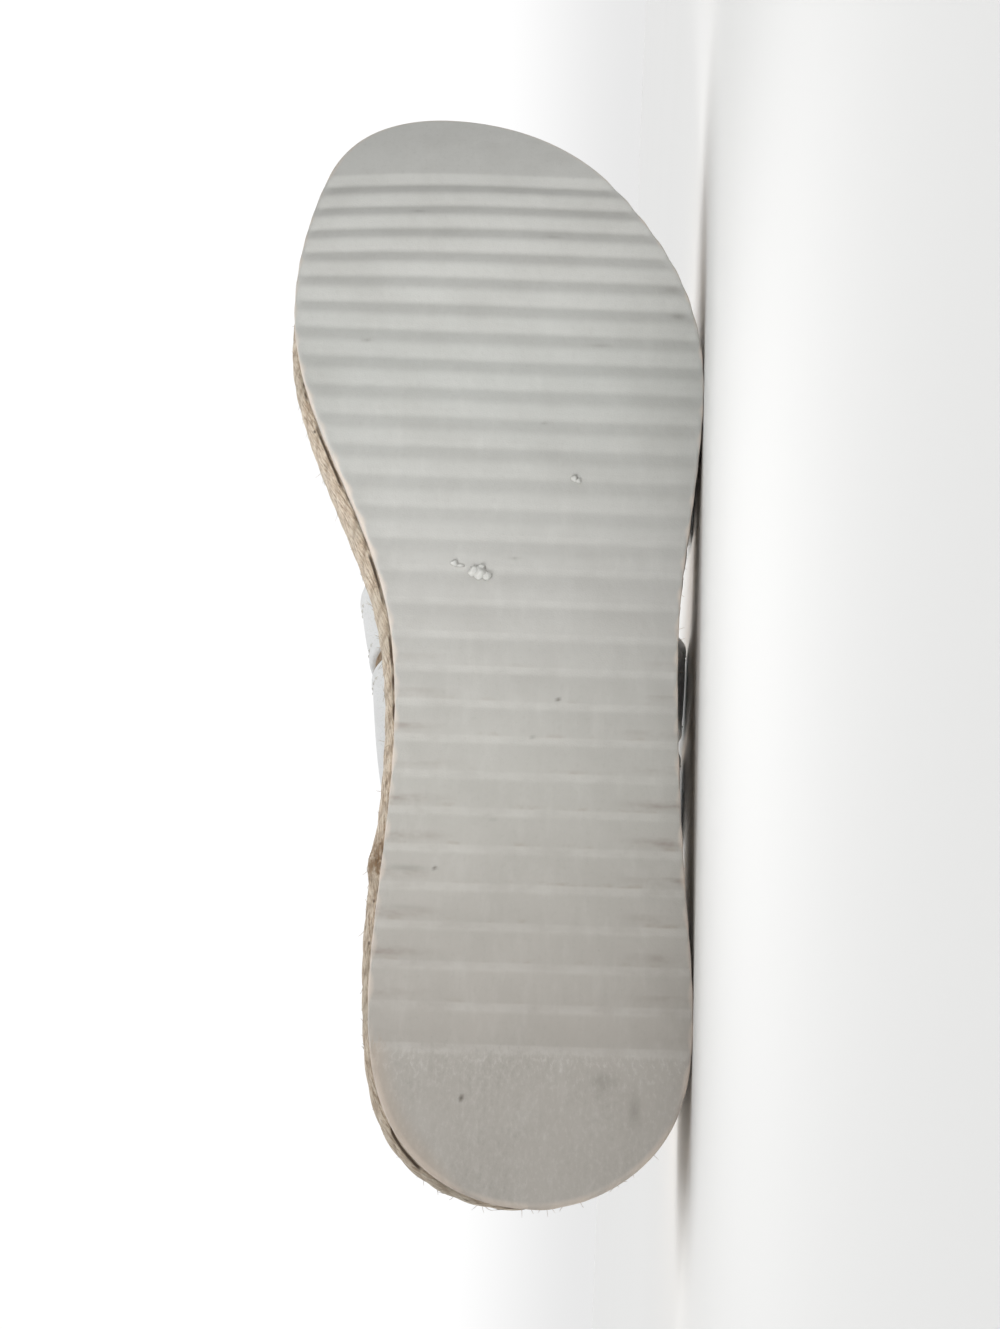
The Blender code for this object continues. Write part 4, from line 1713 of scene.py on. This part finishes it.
@dataclass
class Insole:
    """The leather pad on the wedge, with a rounded edge and a stitched line inside it."""

    plan: ShoePlan
    rim_width: float = 3.3
    thick: float = 4.0
    edge_round: float = 1.4
    seam_in: float = 4.2
    seam_deep: float = 0.3
    seam_wide: float = 0.8
    # depth of the soft middle, where it begins from the edge and over which width
    dish_deep: float = 0.5
    dish_from: float = 5.5
    dish_reach: float = 9.0
    steps: int = 240
    columns: int = 75
    stitch: Stitch = Stitch(3.6, 2.7, 0.28)

    def top(self, x: Array, distance: Array) -> Array:
        """The upper face: round at the edge, pulled in at the seam and a little soft inside it.

        Args:
            x: Places along.
            distance: Distance from the edge.

        Returns:
            Heights.
        """
        roll = rolled(distance, self.edge_round)
        seam = self.seam_deep * hump(distance, self.seam_in, self.seam_wide)
        dish = self.dish_deep * ease((distance - self.dish_from) / self.dish_reach)
        return self.plan.jute_top(x) + self.plan.gap + self.thick - roll - seam - dish

    def build(self, shop: Workshop, leather: Material, thread: Material) -> None:
        """Makes the insole in place of its solid, with its stitches.

        Args:
            shop: Where pieces are made.
            leather: Its finish.
            thread: Finish of the stitches.
        """
        plan = self.plan
        along, edges = ring_edges(plan.ring(-self.rim_width, plan.jute_top), self.steps)
        points, _ = plan_solid(
            along,
            edges,
            lambda x, y, distance: self.top(x, distance),
            lambda x: plan.jute_top(x) + plan.gap,
            self.columns,
        )
        pad = grid_patch(points, closed_columns(points)[..., :2] / 10)
        line = plan.ring(-self.rim_width - self.seam_in, plan.jute_top).evened(1.0).plan
        heights = self.top(line[:, 0], np.full(len(line), self.seam_in))
        upward = np.tile([0.0, 0.0, 1.0], (len(line), 1))
        seam = self.stitch.along(np.column_stack([line, heights]), upward)
        shop.piece("insole_pad", [pad], [leather], "insole_leather", "insole")
        shop.piece("insole_stitches", [seam], [thread], "insole_leather")


@dataclass
class Strap:
    """A white leather band on the last, with a lining, rounded edges and stitched borders."""

    plan: ShoePlan
    name: str
    # along at the inner root, over the crest and at the outer root
    front: tuple[float, float, float]
    rear: tuple[float, float, float]
    # girth, share of the width, spread round the girth, depth of soft creases
    creases: Sequence[Sequence[float]]
    crease_wide: float = 0.34
    thick: float = 1.8
    edge_round: float = 0.9
    lining_round: float = 0.5
    seam_in: float = 2.8
    seam_deep: float = 0.16
    seam_wide: float = 0.45
    # place, spread and height of the roll outside the seam, and height and power of the soft middle
    roll: tuple[float, float, float] = (1.5, 0.7, 0.12)
    puff: tuple[float, float] = (0.18, 0.6)
    root_deep: float = 1.5
    # height below which a point is on the lining
    lining_top: float = 0.3
    # keeps the rear edge, which has no offset, below zero
    rear_hair: float = 1e-6
    sharp_angle: float = 50.0
    # evens the steps round the girth, which is steep at the roots
    evening: float = 0.055
    # height of the section, as a sine, below which the band stands straight up
    root_sine: float = 0.35
    steps: int = 110
    # distance from the edge of the outer face's border columns, and of the lining's
    border: Sequence[float] = (0.0, 0.08, 0.25, 0.5, 0.9, 1.5, 2.1, 2.5, 2.8, 3.1, 3.6, 4.4)
    lining: Sequence[float] = (0.0, 0.12, 0.3, 0.5, 1.2)
    middle_columns: int = 12
    measured_column: int = 20
    stitch: Stitch = Stitch(3.3, 2.4, 0.22)

    @property
    def outer_columns(self) -> int:
        """How many columns the outer face has."""
        return 2 * len(self.border) + self.middle_columns

    def edge(self, ends: tuple[float, float, float], girth: Array) -> Array:
        """An edge of the band: straight between its roots, with a bow over the crest.

        Args:
            ends: Along at the inner root, over the crest and at the outer root.
            girth: 0 at the inner root, 1 at the outer root.

        Returns:
            Places along.
        """
        inner, crest, outer = ends
        bow = crest - (inner + outer) / 2
        return inner + (outer - inner) * girth + bow * np.sin(math.pi * girth) ** 2

    def inside(self, girth: Array, share: Array) -> Array:
        """The lining's surface, on the last, from the front edge (0) to the rear edge (1)."""
        along = self.edge(self.front, girth) * (1 - share) + self.edge(self.rear, girth) * share
        return self.plan.last_point(along, girth + 0 * share)

    def section(self) -> tuple[Array, Array, Array]:
        """The section across the band, in millimetres from its nearer edge and up from the lining.

        Returns:
            Offsets from the front edge (rear ones below zero), the share for points between the
            borders, and heights. The outer face comes first, from front to rear.
        """
        border, lining = np.array(self.border), np.array(self.lining)
        height = self.thick - rolled(border, self.edge_round)
        height -= self.seam_deep * hump(border, self.seam_in, self.seam_wide)
        height += self.roll[2] * hump(border, *self.roll[:2])
        low = rolled(lining, self.lining_round)
        middle = np.linspace(0, 1, self.middle_columns + 2)[1:-1]
        puff = self.thick + self.puff[0] * np.sin(math.pi * middle) ** self.puff[1]
        none = 0 * middle
        rear = -np.maximum(border, self.rear_hair)[::-1]
        rear_lining = -np.maximum(lining, self.rear_hair)
        offset = np.concatenate([border, none, rear, rear_lining, none[::2], lining[::-1]])
        share = np.concatenate(
            [0 * border, middle, 0 * border, 0 * lining, middle[::-2], 0 * lining]
        )
        tall = np.concatenate([height, puff, height[::-1], low, none[::2], low[::-1]])
        return offset, share, tall

    def outward(self, girth: Array, share: Array) -> Array:
        """The direction out of the last, upright at the roots, read between evenly spaced columns.

        Args:
            girth: Places round the girth.
            share: Places across the band, a row for each place round the girth.

        Returns:
            Directions of length one.
        """
        columns = np.linspace(0, 1, PLAIN_COLUMNS)
        plain = self.inside(girth, columns[None, :])
        normal = unit(np.cross(np.gradient(plain, axis=0), np.gradient(plain, axis=1)))
        if (normal * (plain - plain.mean(axis=(0, 1)))).sum() < 0:
            normal = -normal
        normal[..., 2] *= np.clip(np.sin(math.pi * girth) / self.root_sine, 0, 1)
        left = np.clip(np.searchsorted(columns, share) - 1, 0, PLAIN_COLUMNS - 2)
        part = ((share - columns[left]) * (PLAIN_COLUMNS - 1))[..., None]
        rows = np.arange(len(girth))[:, None]
        return unit(normal[rows, left] * (1 - part) + normal[rows, left + 1] * part)

    def build(self, shop: Workshop, finishes: Sequence[Material], thread: Material) -> None:
        """Makes the strap in place of its solid, with its stitches.

        Each row of points is the section, laid over the last at one place round the girth. Both
        ends run a little farther down, beside the insole.

        Args:
            shop: Where pieces are made.
            finishes: The leather and the lining.
            thread: Finish of the stitches.
        """
        even = np.linspace(0, 1, self.steps + 1)
        girth = (even - self.evening * np.sin(2 * math.pi * even))[:, None]
        first, last = (self.inside(girth, np.full((1, 1), end)) for end in (0.0, 1.0))
        wide = np.linalg.norm(last - first, axis=2)
        offset, middle, tall = self.section()
        border = self.border[-1] / wide
        near_edge = np.where(offset < 0, 1 + offset / wide, offset / wide)
        share = np.where(middle > 0, border + (1 - 2 * border) * middle, near_edge)
        outward = self.outward(girth, share)
        dent = sum(
            deep * hump(girth, at, spread) * hump(share, where, self.crease_wide)
            for at, where, spread, deep in self.creases
        )
        raised = tall - dent * (tall > self.lining_top)
        points = self.inside(girth, share) + raised[..., None] * outward
        foot = np.array([0.0, 0.0, -self.root_deep])
        points = np.concatenate([points[:1] + foot, points, points[-1:] + foot])
        steps = np.linalg.norm(np.diff(points, axis=0, prepend=points[:1]), axis=2)
        run = np.cumsum(steps, axis=0)[:, self.measured_column, None]
        breadth = np.linalg.norm(np.diff(points, axis=1, append=points[:, :1]), axis=2)
        across = np.concatenate([np.zeros_like(run), np.cumsum(breadth, axis=1)], axis=1)
        uv = np.stack([run + 0 * across, across], axis=2) / 10
        kinds = (np.arange(points.shape[1]) >= self.outer_columns).astype(int)
        band = grid_patch(points, uv, column_finish=kinds)
        front_seam = self.border.index(self.seam_in)
        seams = [
            self.stitch.along(points[3:-3, column], outward[2:-2, column])
            for column in (front_seam, self.outer_columns - 1 - front_seam)
        ]
        leather, sewn = self.name + "_leather", self.name + "_stitches"
        shop.piece(leather, [band], finishes, "strap_leather", self.name, self.sharp_angle)
        shop.piece(sewn, seams, [thread], "strap_leather")


@dataclass(frozen=True)
class Lamp:
    """A soft square light: its place and aim from the standing shoe, power, beam and width."""

    name: str
    at: tuple[float, float, float]
    aim: tuple[float, float, float]
    watts: float
    spread: float
    width: float = 0.10

    def build(self, place: LyingPlace) -> None:
        """Hangs the light, out of the camera's sight.

        Args:
            place: How the shoe lies.
        """
        data = bpy.data.lights.new(self.name, "AREA")
        data.shape = "RECTANGLE"
        data.size = data.size_y = self.width
        data.energy = self.watts
        data.spread = math.radians(self.spread)
        lamp = bpy.data.objects.new(self.name, data)
        at = place.point(self.at)
        toward = Vector(place.point(self.aim) - at).to_track_quat("-Z", "Y")
        lamp.matrix_world = Matrix.Translation(Vector(at)) @ toward.to_matrix().to_4x4()
        lamp.visible_camera = False
        bpy.context.scene.collection.objects.link(lamp)


@dataclass
class Studio:
    """The wide pale floor, the lights, the soft air and the camera, placed by the shoe's sizes."""

    place: LyingPlace
    image: tuple[float, float] = (1000.0, 1329.0)
    focal: float = 1340.0
    camera_at: tuple[float, float, float] = (4.6, -11.4, -260.5)
    camera_aim: tuple[float, float, float] = (106.2, -7.8, 3.0)
    camera_up: tuple[float, float, float] = (0.9246, -0.0342, -0.380)
    camera_clip: tuple[float, float] = (0.01, 100.0)
    sensor: float = 36.0
    floor_reach: float = 30.0
    # slanting lights on the front ribs and on the heel
    lamps: Sequence[Lamp] = (
        Lamp("rib_light", (-150.0, -110.0, -230.0), (215.0, -10.0, 0.0), 0.046, 32.0),
        Lamp("heel_light", (190.0, -130.0, -280.0), (25.0, -10.0, 0.0), 0.046, 60.0),
    )
    top_power: float = 1.36
    top_angle: float = 40.0
    # light of the air: near the floor, overhead, and the slope where that is reached
    air_behind: tuple[float, float, float] = (0.81, 1.04, 0.12)
    air_before: tuple[float, float, float] = (0.80, 0.05, 0.35)
    # where the air before the shoe begins to turn into the air behind it, and where it has
    air_turn: tuple[float, float] = (-0.1, 0.6)

    def floor(self, paper: Material) -> None:
        """The floor: one wide square.

        Args:
            paper: Its finish.
        """
        corners = [(-1.0, -1.0, 0.0), (1.0, -1.0, 0.0), (1.0, 1.0, 0.0), (-1.0, 1.0, 0.0)]
        mesh = bpy.data.meshes.new("studio_floor")
        mesh.from_pydata((self.floor_reach * np.array(corners)).tolist(), [], [[0, 1, 2, 3]])
        mesh.materials.append(paper)
        floor = bpy.data.objects.new("studio_floor", mesh)
        bpy.context.scene.collection.objects.link(floor)

    def lights(self) -> None:
        """The slanting lights, and a wide one from straight above."""
        for lamp in self.lamps:
            lamp.build(self.place)
        data = bpy.data.lights.new("top_light", "SUN")
        data.energy = self.top_power
        data.angle = math.radians(self.top_angle)
        bpy.context.scene.collection.objects.link(bpy.data.objects.new("top_light", data))

    def air(self) -> None:
        """The light of the air: rising to white behind the shoe, and fading upward before it."""
        world = bpy.data.worlds.new("studio_air")
        world.use_nodes = True
        tree = world.node_tree
        ground = tree.nodes["Background"]
        ground.inputs["Color"].default_value = (1.0, 1.0, 1.0, 1.0)
        split = tree.nodes.new("ShaderNodeSeparateXYZ")
        direction = tree.nodes.new("ShaderNodeTexCoord").outputs["Generated"]
        tree.links.new(direction, split.inputs[0])

        def blend(axis: str, **ends: float) -> bpy.types.Node:
            """A soft step along an axis of the direction."""
            node = tree.nodes.new("ShaderNodeMapRange")
            node.interpolation_type = "SMOOTHSTEP"
            tree.links.new(split.outputs[axis], node.inputs["Value"])
            for name, value in ends.items():
                node.inputs[name.replace("_", " ")].default_value = value
            return node

        begin, end = self.air_turn
        across = blend("Y", From_Min=begin, From_Max=end)
        for socket, part in (("To Min", self.air_before), ("To Max", self.air_behind)):
            low, overhead, slope = part
            upward = blend("Z", From_Max=slope, To_Min=low, To_Max=overhead)
            tree.links.new(upward.outputs["Result"], across.inputs[socket])
        tree.links.new(across.outputs["Result"], ground.inputs["Strength"])
        bpy.context.scene.world = world

    def camera(self) -> None:
        """The camera: its place and roll to the shoe as in the photo, aimed at this shoe."""
        at = self.place.point(self.camera_at)
        back = unit(at - self.place.point(self.camera_aim))
        right = unit(np.cross(self.place.turn @ np.array(self.camera_up), back))
        up = np.cross(back, right)
        data = bpy.data.cameras.new("view")
        data.sensor_width = self.sensor
        data.lens = self.focal / max(self.image) * self.sensor
        data.clip_start, data.clip_end = self.camera_clip
        camera = bpy.data.objects.new("view", data)
        matrix = Matrix(np.stack([right, up, back], axis=1).tolist()).to_4x4()
        matrix.translation = Vector(at)
        camera.matrix_world = matrix
        bpy.context.scene.collection.objects.link(camera)
        bpy.context.scene.camera = camera

    def build(self) -> None:
        """Sets the stage, with colours shown as they are, and reports it."""
        self.floor(StudioFinish().material())
        self.lights()
        self.air()
        self.camera()
        bpy.context.scene.view_settings.view_transform = "Standard"
        LOG.info("studio: floor, lights, air and camera")


def straps(plan: ShoePlan) -> tuple[Strap, ...]:
    """The three straps, from the toe to the heel.

    Args:
        plan: The sizes that all pieces share.

    Returns:
        The straps, each with its front edge, rear edge and creases.
    """
    toe_creases = (
        (0.18, 0.30, 0.035, 0.5),
        (0.24, 0.62, 0.03, 0.35),
        (0.80, 0.55, 0.035, 0.5),
        (0.72, 0.25, 0.03, 0.3),
    )
    front_creases = ((0.22, 0.40, 0.03, 0.35), (0.78, 0.60, 0.03, 0.4))
    rear_creases = ((0.20, 0.60, 0.03, 0.4), (0.80, 0.40, 0.03, 0.35))
    rows = (
        ("toe_band", (225.0, 221.0, 205.0), (169.0, 170.0, 152.0), toe_creases),
        ("instep_strap_front", (137.0, 134.0, 128.0), (122.5, 112.5, 106.0), front_creases),
        ("instep_strap_rear", (120.0, 109.5, 102.0), (88.0, 83.0, 79.0), rear_creases),
    )
    return tuple(Strap(plan, *row) for row in rows)


def main() -> None:
    """Builds the pieces in order."""
    logging.basicConfig(level=logging.INFO, format="%(name)s %(message)s")
    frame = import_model()
    plan = ShoePlan()
    place = LyingPlace.from_record(frame["record"])
    shop = Workshop(place)
    rubber = RubberFinish().material()
    jute = JuteFinish().material()
    fibre = JuteFinish("jute_fibre", dark=tone(170, 152, 130)).material()
    white = LeatherFinish("strap_leather", tone(225, 226, 226), tone(208, 208, 206)).material()
    lining = LeatherFinish(
        "strap_lining", tone(205, 187, 163), tone(176, 156, 132), 22.0, 0.05, 0.62
    ).material()
    tan = LeatherFinish(
        "insole_leather", tone(206, 181, 148), tone(176, 148, 114), 18.0, 0.06, 0.5
    ).material()
    white_thread = ThreadFinish("strap_thread", tone(240, 239, 234), tone(196, 194, 188)).material()
    tan_thread = ThreadFinish("insole_thread", tone(226, 210, 184), tone(170, 148, 120)).material()

    Studio(place).build()
    Outsole(plan).build(shop, rubber)
    JuteWedge(plan).build(shop, jute, fibre)
    Insole(plan).build(shop, tan, tan_thread)
    for strap in straps(plan):
        strap.build(shop, [white, lining], white_thread)
    LOG.info("%d pieces made", len(shop.made))


if __name__ == "__main__":
    main()
